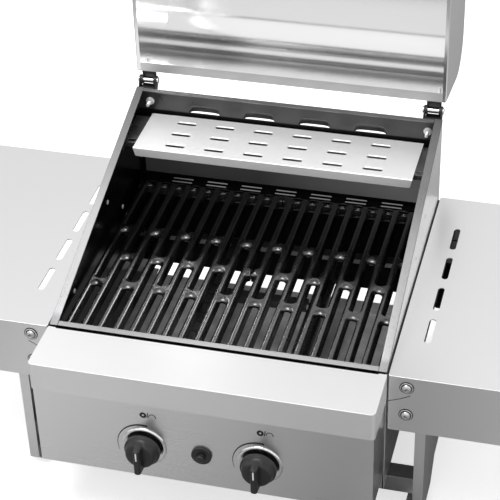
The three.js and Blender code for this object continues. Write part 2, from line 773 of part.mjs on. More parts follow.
// A closed solid between two rings of as many points each, both turning left seen from above
function loft(low, high) {
  const count = low.length;
  const centre = (ring) => [0, 1, 2].map((k) => ring.reduce((sum, p) => sum + p[k], 0) / count);
  const faces = [];
  for (let i = 0; i < count; i += 1) {
    const next = (i + 1) % count;
    faces.push(i, next, count + next, i, count + next, count + i);
    faces.push(next, i, 2 * count, count + i, count + next, 2 * count + 1);
  }
  const geometry = new THREE.BufferGeometry();
  geometry.setAttribute('position', new THREE.Float32BufferAttribute(
    [...low, ...high, centre(low), centre(high)].flat(), 3));
  geometry.setIndex(faces);
  return solid(geometry);
}

// A slot through a grate, with round ends and flanks that open upwards
function taperedSlot(x, front, back) {
  const flare = (barFootWidth - barTopWidth) / 2;
  const extra = (flare * overrun) / grateThickness; // keeps the draft past both faces
  const ring = (width, length, z) => slotOutline(length, width, [x, (front + back) / 2], true)
    .reverse().map(([u, v]) => [u, v, z]);
  const low = ring(gratePitch - barFootWidth - 2 * extra, back - front - 2 * flare - 2 * extra,
    grateBottom - overrun);
  const high = ring(gratePitch - barTopWidth + 2 * extra, back - front + 2 * extra, grateTop + overrun);
  return loft(low, high);
}

// One cast grate: a slab cut by slots; gaps are counted outwards from the seam
function cookingGrate(side) {
  const edgeFoot = gratePitch * (gratesBars - 1 / 2) + barFootWidth / 2;
  const edgeTop = gratePitch * (gratesBars - 1 / 2) + barTopWidth / 2;
  const slab = prismY([[side * grateSeam, grateBottom], [side * edgeFoot, grateBottom],
    [side * edgeTop, grateTop], [side * grateSeam, grateTop]], [grateFront, grateBack]);
  const nose = prismX([[grateFront - overrun, grateTop + overrun],
    [grateFront + grateNoseLength, grateTop + overrun], [grateFront + grateNoseLength, grateTop],
    [grateFront, grateTop - grateNoseDrop], [grateFront - overrun, grateTop - grateNoseDrop]],
  outward(side, 0, edgeFoot + overrun));
  const cutters = [nose];
  for (let gap = 0; gap < gratesBars; gap += 1) {
    const shares = gap % 2 === 0 ? [webShares.middle] : [webShares.front, webShares.back];
    const webs = shares.flatMap((share) => [webAt(share) - webWidth / 2, webAt(share) + webWidth / 2]);
    const ends = [grateFront + grateEnd, ...webs, grateBack - grateEnd];
    for (let i = 0; i < ends.length; i += 2) {
      cutters.push(taperedSlot(side * gap * gratePitch, ends[i], ends[i + 1]));
    }
  }
  return cut(slab, ...cutters);
}

// Plate in front of the back wall's lower half
function rearBaffle() {
  const wall = fireboxDepth - bodySheet - air;
  const half = fireboxHalf - baffleSideInset;
  return block([-half, half], [wall - skinSheet, wall], [-baffleDrop, rimBack - baffleRimDrop]);
}

// Warming rack: pierced sheet with a front lip that tapers at its ends
function warmingRack() {
  const half = rackWidth / 2;
  const top = rackHeight;
  const plate = block([-half, half], [rackFront, rackBack], [top - skinSheet, top]);
  const lip = prismY([[-half, top], [half, top], [half - rackLipTaper, top - rackLip],
    [-half + rackLipTaper, top - rackLip]], [rackFront, rackFront + skinSheet]);
  const rearHalf = half - bracketLedge;
  const rearLip = block([-rearHalf, rearHalf], [rackBack - skinSheet, rackBack], [top - rackRearLip, top]);
  const slots = [];
  for (let column = 0; column < rackColumns; column += 1) {
    for (let row = 0; row < rackRows; row += 1) {
      const x = (column - (rackColumns - 1) / 2) * rackColumnPitch;
      const y = rackFront + rackFirstRow + row * rackRowPitch;
      slots.push(prismZ(slotOutline(rackSlotLength, rackSlotWidth, [x, y]),
        [top - skinSheet - overrun, top + overrun]));
    }
  }
  return cut(join(plate, lip, rearLip), ...slots);
}

// Ledge on the side wall under each end of the rack
function rackBracket(side) {
  const wall = innerHalf - air;
  const top = rackHeight - skinSheet - air;
  const front = rackFront + bracketFrontInset;
  const back = rackBack - bracketBackInset;
  const ledge = block(outward(side, wall - bracketLedge, wall), [front, back],
    [top - skinSheet, top]);
  const leg = block(outward(side, wall - skinSheet, wall), [front, back], [top - bracketLeg, top]);
  const tab = block(outward(side, wall - bracketLedge, wall), [front, front + skinSheet],
    [top - bracketTab, top]);
  const hole = prismZ(slotOutline(bracketSlotLength, bracketSlotWidth,
    [side * (wall - bracketSlotReach), front + bracketSlotInset]), [top - 2 * skinSheet, top + overrun]);
  return cut(join(ledge, leg, tab), hole);
}

// Side shelf: a top with heat slots, a tall front fascia and shallower skirts
function shelf(side) {
  const front = -fasciaProud;
  const back = fireboxDepth;
  const x = outward(side, shelfInner, shelfOuter);
  const top = block(x, [front, back], [-skinSheet, 0]);
  const fascia = block(x, [front, front + skinSheet], [-fasciaHeight, 0]);
  const rear = block(x, [back - skinSheet, back], [-skirtHeight, 0]);
  const end = prismX([[front, 0], [front, -fasciaHeight], [back / 2, -skirtHeight], [back, -skirtHeight],
    [back, 0]], outward(side, shelfOuter - skinSheet, shelfOuter));
  const inner = block(outward(side, shelfInner, shelfInner + skinSheet),
    [innerSkirtInset, back - innerSkirtInset], [-innerSkirtHeight, 0]);
  const slots = Array.from({ length: heatSlotCount }, (_, i) => prismZ(
    slotOutline(heatSlotLength, heatSlotWidth, [side * (shelfInner + heatSlotInset),
      heatSlotFirst + i * heatSlotPitch], true), [-skinSheet - air, overrun]));
  const holes = fasciaScrewDrops.map((drop) => fasciaScrewHole(side, front, drop));
  return cut(join(top, fascia, rear, end, inner), ...slots, ...holes);
}

function fasciaScrewHole(side, y, drop) {
  const x = side * (shelfInner + fasciaScrewInset);
  return rod([x, y - overrun, -drop], [x, y + overrun, -drop], screwShank + air, smallSides);
}

// Pan-head screw with its washer: the seat at a point, the shank along a direction
function screw(seat, direction, sizes) {
  const { shank, length, head, headHeight, washer, washerThickness: under } = sizes;
  const top = -under - headHeight;
  return turned([[0, top], [head * 2 / 3, top], [head, top + headHeight / 2], [head, -under],
    [washer, -under], [washer, 0], [shank, 0], [shank, length], [0, length]], seat, direction, tubeSides);
}

function shelfScrew(side, drop) {
  return screw([side * (shelfInner + fasciaScrewInset), -fasciaProud - air, -drop], axisY, {
    shank: screwShank,
    length: screwLength,
    head: screwHead,
    headHeight: screwHeadHeight,
    washer: washerRadius,
    washerThickness,
  });
}

// Hinge mount on the back wall: plate and two ears that hold the pin
function hingeMount(side) {
  const plateFront = fireboxDepth + air;
  const half = hingeInnerWidth / 2 + earThickness;
  const x = side * hingeX;
  const plateTop = hingeRise - mountPlateTopDrop;
  const plate = block([x - half, x + half], [plateFront, plateFront + mountPlateThickness],
    [hingeRise - mountPlateBottomDrop, plateTop]);
  const ears = [-1, 1].map((end) => {
    const range = [x + end * (half - earThickness), x + end * half];
    const web = prismX([[plateFront, hingeRise - earFootDrop], [plateFront, plateTop],
      [hingeY - earRadius, hingeRise],
      [hingeY + earRadius * Math.SQRT1_2, hingeRise - earRadius * Math.SQRT1_2]], range);
    return web.add(rod([range[0], hingeY, hingeRise], [range[1], hingeY, hingeRise], earRadius));
  });
  const pinHole = rod([x - 2 * half, hingeY, hingeRise], [x + 2 * half, hingeY, hingeRise], pinRadius + air);
  const boltX = side * (hingeX - hingeBoltShift);
  const boltHole = rod([boltX, plateFront - overrun, hingeBoltHeight], [boltX, plateFront + 2 * overrun,
    hingeBoltHeight], boltShank + air, smallSides);
  return cut(join(plate, ...ears), pinHole, boltHole);
}

function hingePin(side) {
  const half = hingeInnerWidth / 2 + earThickness + air;
  const at = (offset) => [side * hingeX + offset, hingeY, hingeRise];
  return join(rod(at(-half - pinHeadThickness), at(half + pinHeadThickness), pinRadius),
    rod(at(-half - pinHeadThickness), at(-half), pinHeadRadius),
    rod(at(half), at(half + pinHeadThickness), pinHeadRadius));
}

// Bolt through the hinge mount and the back wall, with its washer and nut inside
function hingeBolt(side) {
  const x = side * (hingeX - hingeBoltShift);
  const at = (y) => [x, y, hingeBoltHeight];
  const headSeat = fireboxDepth + 2 * air + mountPlateThickness;
  const wall = fireboxDepth - bodySheet - air;
  const nutSeat = wall - smallWasherThickness;
  return join(rod(at(headSeat + boltHeadHeight), at(headSeat), boltHead),
    rod(at(headSeat + boltHeadHeight / 2), at(wall - boltProud), boltShank, smallSides),
    rod(at(wall), at(nutSeat), smallWasherRadius),
    rod(at(wall), at(nutSeat - nutHeight), nutRadius, hexSides));
}

// The hood is built level and closed about its hinge axis: s runs forwards, h upwards
const hood = new THREE.Group();
hood.position.set(0, hingeY, hingeRise);
hood.rotation.x = THREE.MathUtils.degToRad(hoodOpenAngle);
grill.add(hood);

const lean = THREE.MathUtils.degToRad(hoodBackLean);
const hoodPoint = ([s, h]) => [-s, h];
const frontReach = hoodFrontEdge - hoodCrownEnd;
const frontRise = hoodHeight - hoodFrontWall;

// A point on the back wall's outer face, a distance up the wall and an offset outwards
function backWallPoint(up, out) {
  return [hoodBackEdge - up * Math.sin(lean) - out * Math.cos(lean),
    hoodEdgeLift + up * Math.cos(lean) - out * Math.sin(lean)];
}

// The hood's side outline from back edge to front edge, moved in by an inset
function hoodCurve(inset) {
  const turn = hoodBackCorner;
  const up = (hoodHeight - turn - turn * Math.sin(lean) - hoodEdgeLift) / Math.cos(lean);
  const [cornerS, cornerH] = backWallPoint(up, -turn);
  const points = [[hoodBackEdge + inset / Math.cos(lean), hoodEdgeLift]];
  for (let i = 0; i <= hoodCornerSteps; i += 1) {
    const angle = Math.PI + lean - (Math.PI / 2 + lean) * (i / hoodCornerSteps);
    points.push([cornerS + (turn - inset) * Math.cos(angle), cornerH + (turn - inset) * Math.sin(angle)]);
  }
  for (let i = 0; i <= hoodFrontSteps; i += 1) {
    const angle = (Math.PI / 2) * (1 - i / hoodFrontSteps);
    points.push([hoodCrownEnd + (frontReach - inset) * Math.cos(angle),
      hoodFrontWall + (frontRise - inset) * Math.sin(angle)]);
  }
  points.push([hoodFrontEdge - inset, hoodEdgeLift]);
  return points;
}

// A place on the hood's front curve and the direction that faces out of it
function onFrontCurve(degrees) {
  const angle = THREE.MathUtils.degToRad(degrees);
  const point = [hoodCrownEnd + frontReach * Math.cos(angle), hoodFrontWall + frontRise * Math.sin(angle)];
  const normal = new THREE.Vector3(0, -frontRise * Math.cos(angle), frontReach * Math.sin(angle));
  normal.normalize();
  return { seat: new THREE.Vector3(0, ...hoodPoint(point)), normal };
}
const handleSeat = onFrontCurve(handleAngle);
const along = (seat, normal, distance, x = 0) => seat.clone().addScaledVector(normal, distance)
  .add(new THREE.Vector3(x, 0, 0)).toArray();

function hoodShell() {
  const half = hoodWidth / 2 - skinSheet - air;
  const flangeHalf = hoodWidth / 2 - hoodSideFlange - air;
  const outline = [...hoodCurve(0), ...hoodCurve(skinSheet).reverse()].map(hoodPoint);
  const skin = prismX(outline, [-half, half]);
  const flangeH = [hoodEdgeLift, hoodEdgeLift + skinSheet];
  const back = block([-flangeHalf, flangeHalf], [-hoodBackEdge, -hoodBackEdge - hoodBackFlange], flangeH);
  const front = block([-flangeHalf, flangeHalf], [-hoodFrontEdge, -hoodFrontEdge + hoodFrontFlange],
    flangeH);
  const boltHoles = [-1, 1].map((side) => leafBoltRod(side, -2 * overrun, 2 * overrun, boltShank + air));
  return cut(join(skin, back, front), ...boltHoles);
}

function hoodEnd(side) {
  const outer = hoodWidth / 2;
  const plate = prismX(hoodCurve(0).map(hoodPoint), outward(side, outer - skinSheet, outer));
  const flange = block(outward(side, outer - hoodSideFlange, outer),
    [-hoodBackEdge - skinSheet / Math.cos(lean) - air, -hoodFrontEdge + skinSheet + air],
    [hoodEdgeLift, hoodEdgeLift + skinSheet]);
  return plate.add(flange);
}

// Handle: a round bar on two welded posts with wide feet
function hoodHandle() {
  const { seat, normal } = handleSeat;
  const bar = rod(along(seat, normal, handleStandoff, -handleLength / 2),
    along(seat, normal, handleStandoff, handleLength / 2), handleRadius, discSides);
  const posts = [-1, 1].flatMap((side) => {
    const x = side * handlePostSpacing / 2;
    const base = along(seat, normal, air, x);
    return [rod(base, along(seat, normal, handleStandoff, x), handlePostRadius),
      rod(base, along(seat, normal, air + handlePostFootHeight, x), handlePostFoot)];
  });
  return join(bar, ...posts);
}

// Hinge leaf: two lugs on the pin, a plate behind it and a tab bolted under the hood's back wall
function leafBoltRod(side, from, to, radius) {
  const x = side * (hingeX + leafBoltShift);
  const place = (out) => [x, ...hoodPoint(backWallPoint(leafBoltPlace, out))];
  return rod(place(from), place(to), radius, smallSides);
}

function hingeLeaf(side) {
  const x = side * hingeX;
  const half = hingeInnerWidth / 2 - 2 * air;
  const lugs = [-1, 1].map((end) => {
    const range = [x + end * (half - leafLugThickness), x + end * half];
    const disc = rod([range[0], 0, 0], [range[1], 0, 0], leafLugRadius);
    const arm = block(range, [-leafLugRadius, leafTail], [0, leafStandoff + leafThickness]);
    return disc.add(arm);
  });
  const plate = block([x - half, x + half], [-backWallPoint(leafStandoff, leafThickness)[0] + air, leafTail],
    [leafStandoff, leafStandoff + leafThickness]);
  const tabOutline = [backWallPoint(leafTabStart, air), backWallPoint(leafTabLength, air),
    backWallPoint(leafTabLength, air + leafThickness), backWallPoint(leafTabStart, air + leafThickness)];
  const tab = prismX(tabOutline.map(hoodPoint), [x - half, x + half]);
  const pinHole = rod([x - 2 * half, 0, 0], [x + 2 * half, 0, 0], pinRadius + air);
  return cut(join(...lugs, plate, tab), pinHole, leafBoltRod(side, -overrun, 2 * overrun, boltShank + air));
}

function leafBolt(side) {
  const seat = leafThickness + 2 * air;
  const inside = -skinSheet - air;
  return join(leafBoltRod(side, seat, seat + boltHeadHeight, boltHead),
    leafBoltRod(side, seat + boltHeadHeight / 2, inside - boltProud, boltShank),
    leafBoltRod(side, inside, inside - nutHeight, nutRadius));
}

// Grease tray: a pan that rests on the side walls' feet, with a front plate and a pull
function greaseTray() {
  const half = innerHalf - traySideGap;
  const bottom = -fireboxDrop + bodySheet + air;
  const top = -frontWallDrop - trayWallGap;
  const front = -trayFront;
  const back = fireboxDepth - trayBackInset;
  const pan = cut(block([-half, half], [front, back], [bottom, top]),
    block([-half + skinSheet, half - skinSheet], [front + skinSheet, back - skinSheet],
      [bottom + skinSheet, top + overrun]));
  const plateHalf = fireboxHalf - trayPlateInset;
  const plate = block([-plateHalf, plateHalf], [front, front + skinSheet],
    [-fireboxDrop + trayPlateRise, -frontWallDrop - trayPlateGap]);
  const pullX = [-trayPullWidth / 2, trayPullWidth / 2];
  const pullTop = -frontWallDrop - trayPullGap + bodySheet;
  const pull = join(block(pullX, [front - trayPullDepth, front + skinSheet], [pullTop - bodySheet, pullTop]),
    block(pullX, [front - trayPullDepth, front - trayPullDepth + bodySheet],
      [pullTop - trayPullDrop, pullTop]));
  return join(pan, plate, pull);
}

addPair('firebox_side', fireboxSide, rimSteel);
add('firebox_front', fireboxFront(), blackEnamel);
add('firebox_back', fireboxBack(), blackEnamel);
addPair('base_side', baseSide, brushedSteel);
add('base_rail_front', baseRail(frontRailBack, false), brushedSteel);
add('base_rail_rear', baseRail(rearRailBack, true), brushedSteel);
addPair('foot_front', (side) => rubberFoot(side, footInset - baseFrontInset), rubber);
addPair('foot_rear', (side) => rubberFoot(side, fireboxDepth - baseBackInset - footInset), rubber);
add('console_cover', consoleCover(), brushedSteel);
add('control_panel', controlPanel(), brushedSteel);
addPair('burner', burner, rimSteel);
add('burner_crossover', burnerCrossover(), rimSteel);
add('burner_rest', burnerRest(), rimSteel);
addPair('valve', valve, brass);
add('gas_manifold', gasManifold(), rimSteel);
add('gas_inlet', gasInlet(), brass);
addPair('knob_bezel', knobBezel, brightSteel);
addPair('knob_stem', knobStem, brightSteel);
addPair('knob', knob, blackPlastic);
add('igniter_body', igniterBody(), blackPlastic);
add('igniter_button', igniterButton(), blackPlastic);
add('igniter_electrode', electrode(), ceramic);
add('grate_rail_front', frontGrateRail(), rimSteel);
add('grate_rail_rear', rearGrateRail(), rimSteel);
add('rear_baffle', rearBaffle(), rimSteel);
addPair('cooking_grate', cookingGrate, castIron);
add('warming_rack', warmingRack(), brushedSteel);
addPair('rack_bracket', rackBracket, blackEnamel);
addPair('shelf', shelf, brushedSteel);
addPair('shelf_screw_upper', (side) => shelfScrew(side, fasciaScrewDrops[0]), brightSteel);
addPair('shelf_screw_lower', (side) => shelfScrew(side, fasciaScrewDrops[1]), brightSteel);
addPair('hinge_mount', hingeMount, blackEnamel);
addPair('hinge_pin', hingePin, brightSteel);
addPair('hinge_bolt', hingeBolt, brightSteel);
add('hood_shell', hoodShell(), brushedSteel, hood);
addPair('hood_end', hoodEnd, brushedSteel, hood);
add('hood_handle', hoodHandle(), brushedSteel, hood);
addPair('hinge_leaf', hingeLeaf, blackEnamel, hood);
addPair('hood_bolt', leafBolt, brightSteel, hood);
add('grease_tray', greaseTray(), brushedSteel);

// The origin is the middle of the footprint, on the table
const reach = new THREE.Box3().setFromObject(grill, true);
grill.position.set(0, -(reach.min.y + reach.max.y) / 2, shelfHeight);

export default grill;
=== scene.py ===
# %% [markdown]
# # Dressing a countertop gas grill
# The grill arrives as a packed set of plain solids, one for each real piece. They give
# every size, and their bodies carry the motion. This script gives them the look of the
# real thing: rolled edges, drawn slots, cast bars, enamel and brushed steel. A solid that
# already has the right shape keeps it and gets a finish. Where the eye needs more, a
# finer piece stands in for the solid, in the same place.

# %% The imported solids
import math

import bmesh
import bpy
from mathutils import Matrix, Vector


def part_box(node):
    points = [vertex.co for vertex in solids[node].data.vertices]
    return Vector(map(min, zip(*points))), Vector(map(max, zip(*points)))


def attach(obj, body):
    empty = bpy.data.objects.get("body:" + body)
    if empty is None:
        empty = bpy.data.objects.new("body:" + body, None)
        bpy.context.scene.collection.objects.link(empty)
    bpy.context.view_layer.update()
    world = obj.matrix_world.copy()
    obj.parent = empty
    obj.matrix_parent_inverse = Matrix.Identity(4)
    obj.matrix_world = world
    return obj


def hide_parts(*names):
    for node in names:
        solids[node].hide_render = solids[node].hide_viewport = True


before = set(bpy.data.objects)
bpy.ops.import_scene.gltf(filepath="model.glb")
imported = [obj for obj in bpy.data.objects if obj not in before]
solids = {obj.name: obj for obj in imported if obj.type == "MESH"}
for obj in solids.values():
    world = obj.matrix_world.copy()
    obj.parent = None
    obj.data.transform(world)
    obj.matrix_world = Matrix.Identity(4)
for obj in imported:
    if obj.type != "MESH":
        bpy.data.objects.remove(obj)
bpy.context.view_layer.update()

# %% [markdown]
# Drawings of sheet metal are in millimetres, and Blender counts in metres. One matrix turns
# the drawing's numbers into places: x is 0 on the centre plane, y is 0 at the firebox's
# front and runs to the back, z is 0 at the top of the shelves. Both zeros are read from
# the solids, so nothing is fitted by eye. What comes in pairs is drawn once for each side.

# %% The drawing's frame
MM = 0.001
firebox_front_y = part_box("firebox_side_left")[0].y
shelf_top_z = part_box("shelf_left")[1].z
TO_PLACE = Matrix.Translation((0, firebox_front_y, shelf_top_z)) @ Matrix.Scale(MM, 4)
SIDES = ((-1, "left"), (1, "right"))
print("firebox front", round(firebox_front_y, 5), "shelf tops", round(shelf_top_z, 5))

# %% [markdown]
# The camera stands high and a little to the right, about 2.2 m away, with a long lens, so
# the far edges shrink only a little. Its three directions were solved from the corners of
# the shelves and of the firebox, and are kept as the columns of a rotation.

# %% The camera
FOCAL_LENGTH = 118.39
SENSOR = 36
camera_right = Vector((0.96788683, 0.25004587, -0.02592577))
camera_up = Vector((-0.12531621, 0.56932268, 0.81250694))
camera_back = Vector((0.21792413, -0.78316585, 0.58237473))
camera_place = Vector((0.46698, -1.72193, 1.51219))

bpy.context.scene.view_settings.view_transform = "Standard"
lens = bpy.data.cameras.new("camera")
lens.lens = FOCAL_LENGTH
lens.sensor_width = SENSOR
camera = bpy.data.objects.new("camera", lens)
bpy.context.scene.collection.objects.link(camera)
turn = Matrix((camera_right, camera_up, camera_back)).transposed().to_4x4()
camera.matrix_world = Matrix.Translation(camera_place) @ turn
bpy.context.scene.camera = camera
print("camera distance", round(camera.location.length, 3))

# %% [markdown]
# A product like this is shown on a white sweep. The floor is a plain pale sheet that takes
# the soft shadow. To the camera it is lifted close to white with a little glow, and so is
# the world behind it. Polished metal sees a sky of its own, and sees the floor with a painted
# shade in bands along x, which the camera doesn't see. The light on the grill itself stays
# at a plain level.

# %% The floor and the world
FLOOR_SIZE = 14
FLOOR_COLOUR = (0.8, 0.8, 0.8, 1)
FLOOR_SHADE_IN_REFLECTIONS = ((0.04, 0.37), (0.185, 0.5), (0.42, 0.39), (0.654, 0.24), (0.85, 0.38),
                   (1, 0.5))
FLOOR_SHADE_HALF = 0.5
FLOOR_GLOW_SEEN = 0.65
WORLD_LEVEL = 0.54
REFLECTED_FRONT = 1.03
FRONT_TO_BACK = (-0.25, 0.05)
REFLECTED_SKY = ((0, 0.6), (0.5, 0.7), (0.57, 0.84), (0.65, 1), (0.8, 1), (0.92, 0.8), (1, 0.7))


def connect(tree, value, socket):
    """Gives a socket a number, a colour or the output of another node."""
    if isinstance(value, bpy.types.NodeSocket):
        tree.links.new(value, socket)
    else:
        socket.default_value = value


def math_node(tree, operation, first, second=0.0):
    node = tree.nodes.new("ShaderNodeMath")
    node.operation = operation
    for socket, value in zip(node.inputs, (first, second)):
        connect(tree, value, socket)
    return node.outputs[0]


def blend(tree, share, first, second, kind="FLOAT"):
    """Mixes two values or sockets by a share."""
    mix = tree.nodes.new("ShaderNodeMix")
    mix.data_type = kind
    for socket, value in zip([s for s in mix.inputs if s.enabled], (share, first, second)):
        connect(tree, value, socket)
    return next(s for s in mix.outputs if s.enabled)


def stepped(tree, value, stops):
    """A ramp of grey levels over a value from 0 to 1, in as many stops as are given."""
    ramp = tree.nodes.new("ShaderNodeValToRGB")
    while len(ramp.color_ramp.elements) < len(stops):
        ramp.color_ramp.elements.new(0.5)
    for element, (share, level) in zip(ramp.color_ramp.elements, stops):
        element.position = share
        element.color = (level, level, level, 1)
    tree.links.new(value, ramp.inputs["Fac"])
    return ramp.outputs["Color"]


def share_between(tree, coordinates, axis, low, high):
    """Runs from 0 to 1 along one direction, between two places."""
    parts = tree.nodes.new("ShaderNodeSeparateXYZ")
    tree.links.new(coordinates, parts.inputs["Vector"])
    share = tree.nodes.new("ShaderNodeMapRange")
    share.inputs["From Min"].default_value = low
    share.inputs["From Max"].default_value = high
    tree.links.new(parts.outputs[axis], share.inputs["Value"])
    return share.outputs["Result"]


def along(tree, coordinates, axis, low, high, stops):
    """Grey levels that change along one direction, between two places."""
    return stepped(tree, share_between(tree, coordinates, axis, low, high), stops)


def seen_rays(tree, rays):
    """1 for what the camera sees or glass lets through, and 0 for all other rays."""
    return math_node(tree, "MAXIMUM", rays.outputs["Is Camera Ray"],
                     rays.outputs["Is Transmission Ray"])


sheet = bmesh.new()
half = FLOOR_SIZE / 2
sheet.faces.new([sheet.verts.new(p) for p in
                 ((-half, -half, 0), (half, -half, 0), (half, half, 0), (-half, half, 0))])
floor_mesh = bpy.data.meshes.new("floor")
sheet.to_mesh(floor_mesh)
sheet.free()
floor = bpy.data.objects.new("floor", floor_mesh)
bpy.context.scene.collection.objects.link(floor)

paper = bpy.data.materials.new("studio_paper")
paper.use_nodes = True
tree = paper.node_tree
shader = tree.nodes["Principled BSDF"]
rays = tree.nodes.new("ShaderNodeLightPath")
spot = tree.nodes.new("ShaderNodeTexCoord").outputs["Object"]
# Painted shade for reflections only: metal sees the floor darker in bands along x.
painted_floor_shade = along(tree, spot, "X", -FLOOR_SHADE_HALF, FLOOR_SHADE_HALF, FLOOR_SHADE_IN_REFLECTIONS)
tree.links.new(blend(tree, rays.outputs["Is Glossy Ray"], FLOOR_COLOUR, painted_floor_shade, "RGBA"),
               shader.inputs["Base Color"])
shader.inputs["Roughness"].default_value = 0.9
shader.inputs["Specular IOR Level"].default_value = 0.1
shader.inputs["Emission Color"].default_value = (1, 1, 1, 1)
tree.links.new(blend(tree, seen_rays(tree, rays), 0.0, FLOOR_GLOW_SEEN),
               shader.inputs["Emission Strength"])
floor_mesh.materials.append(paper)

world = bpy.data.worlds.new("studio")
world.use_nodes = True
bpy.context.scene.world = world
tree = world.node_tree
backdrop = tree.nodes["Background"]
backdrop.inputs["Color"].default_value = (1, 1, 1, 1)
direction = tree.nodes.new("ShaderNodeTexCoord").outputs["Generated"]
sky = along(tree, direction, "Z", 0, 1, REFLECTED_SKY)
behind = share_between(tree, direction, "Y", *FRONT_TO_BACK)
reflected = blend(tree, behind, REFLECTED_FRONT, sky)
rays = tree.nodes.new("ShaderNodeLightPath")
plain = blend(tree, rays.outputs["Is Glossy Ray"], WORLD_LEVEL, reflected)
tree.links.new(blend(tree, seen_rays(tree, rays), plain, 1.0), backdrop.inputs["Strength"])
print("floor and world ready")

# %% [markdown]
# A small bright softbox hangs overhead: it makes the short white glints where the cast
# bars curve. A second one stands low in front on the right. The open hood mirrors it back,
# which draws a line of light along the shoulder of each bar. The key lamp stands behind on
# the left and only gives the shadows their direction, so it is left out of reflections. A
# lamp's power follows from its size and the radiance that a mirror would show, so the
# numbers below read as plain brightness.

# %% The lamps


def softbox(name, at, towards, width, radiance):
    lamp = bpy.data.lights.new(name, "AREA")
    lamp.shape = "SQUARE"
    lamp.size = width
    lamp.energy = radiance * math.pi * width * width
    holder = bpy.data.objects.new(name, lamp)
    bpy.context.scene.collection.objects.link(holder)
    holder.location = at
    holder.rotation_euler = (Vector(towards) - Vector(at)).to_track_quat("-Z", "Y").to_euler()
    print(name, round(lamp.energy, 1), "W")
    return holder


overhead = softbox("overhead_lamp", (-0.55, -0.5, 2.7), (0, 0, 0.2), 1.5, 6)
ridge = softbox("ridge_lamp", (1.3, -2.4, 1.7), (0, 0.2, 0.4), 1.3, 9.5)
ridge.visible_diffuse = False
key = softbox("key_lamp", (-1.9, 2.1, 1.9), (0, 0, 0.2), 1.4, 4.5)
key.visible_glossy = False

# %% [markdown]
# Every finish starts from the same shader and adds what the real surface has. Noise that
# is stretched along one axis reads as brushing. Round noise reads as cast skin or as the
# soft ripple of fired enamel. It is mapped by the object's own coordinates, which are the
# grill's, so the grain runs on from piece to piece.

# %% Tools for finishes
NOISE_LOW, NOISE_HIGH = 0.3, 0.7


def start_finish(name, colour, metal, roughness, ior=1.5):
    """A material with one Principled shader, and the coordinates that its noises use."""
    material = bpy.data.materials.new(name)
    material.use_nodes = True
    tree = material.node_tree
    shader = tree.nodes["Principled BSDF"]
    shader.inputs["Base Color"].default_value = (*colour, 1)
    shader.inputs["Metallic"].default_value = metal
    shader.inputs["Roughness"].default_value = roughness
    shader.inputs["IOR"].default_value = ior
    coordinates = tree.nodes.new("ShaderNodeTexCoord")
    return material, tree, shader, coordinates.outputs["Object"]


def noise(tree, coordinates, per_metre, detail=3):
    """Noise with so many waves to the metre along x, y and z."""
    mapping = tree.nodes.new("ShaderNodeMapping")
    mapping.inputs["Scale"].default_value = per_metre
    tree.links.new(coordinates, mapping.inputs["Vector"])
    texture = tree.nodes.new("ShaderNodeTexNoise")
    texture.inputs["Scale"].default_value = 1
    texture.inputs["Detail"].default_value = detail
    tree.links.new(mapping.outputs["Vector"], texture.inputs["Vector"])
    return texture.outputs["Fac"]


def spread(tree, value, low, high, target):
    """Runs a noise value between two levels into a socket."""
    levels = tree.nodes.new("ShaderNodeMapRange")
    levels.inputs["From Min"].default_value = NOISE_LOW
    levels.inputs["From Max"].default_value = NOISE_HIGH
    levels.inputs["To Min"].default_value = low
    levels.inputs["To Max"].default_value = high
    tree.links.new(value, levels.inputs["Value"])
    tree.links.new(levels.outputs["Result"], target)


def tint(tree, value, dark, light, target):
    """Runs a noise value between two colours into a socket."""
    ramp = tree.nodes.new("ShaderNodeValToRGB")
    for element, place, colour in zip(ramp.color_ramp.elements, (NOISE_LOW, NOISE_HIGH),
                                      (dark, light)):
        element.position = place
        element.color = (*colour, 1)
    tree.links.new(value, ramp.inputs["Fac"])
    tree.links.new(ramp.outputs["Color"], target)


def relief(tree, shader, value, height_mm, strength=1.0, under=None):
    """Bump from a noise value, stacked on another bump where one is given."""
    bump = tree.nodes.new("ShaderNodeBump")
    bump.inputs["Strength"].default_value = strength
    bump.inputs["Distance"].default_value = height_mm * MM
    tree.links.new(value, bump.inputs["Height"])
    if under:
        tree.links.new(under.outputs["Normal"], bump.inputs["Normal"])
    tree.links.new(bump.outputs["Normal"], shader.inputs["Normal"])
    return bump


# %% [markdown]
# Brushed stainless steel is metal with thousands of fine parallel scratches, all one way.
# They could be an image, but stretched noise is sharper at any size. The scratches tilt the
# surface a little across the brushing, and smudges of slightly rougher metal break up the
# reflection over a hand's breadth.

# %% Brushed steel
SCRATCHES_ACROSS = 1500
SCRATCHES_ALONG = 9
SMUDGES = 5


def brushed_steel(name, colour, roughness, brushed, contrast=1.0, metal=1.0):
    material, tree, shader, coordinates = start_finish(name, colour, metal, roughness)
    across = [SCRATCHES_ACROSS] * 3
    across["xyz".index(brushed)] = SCRATCHES_ALONG
    grain = noise(tree, coordinates, across, 4)
    smudge = noise(tree, coordinates, [SMUDGES] * 3, 2)
    both = blend(tree, 0.5, grain, smudge)
    spread(tree, both, roughness - 0.05 * contrast, roughness + 0.08 * contrast,
           shader.inputs["Roughness"])
    tint(tree, grain, [c * (1 - 0.02 * contrast) for c in colour],
         [min(c * (1 + 0.012 * contrast), 1) for c in colour], shader.inputs["Base Color"])
    relief(tree, shader, grain, 0.004, 0.12 * contrast)
    return material


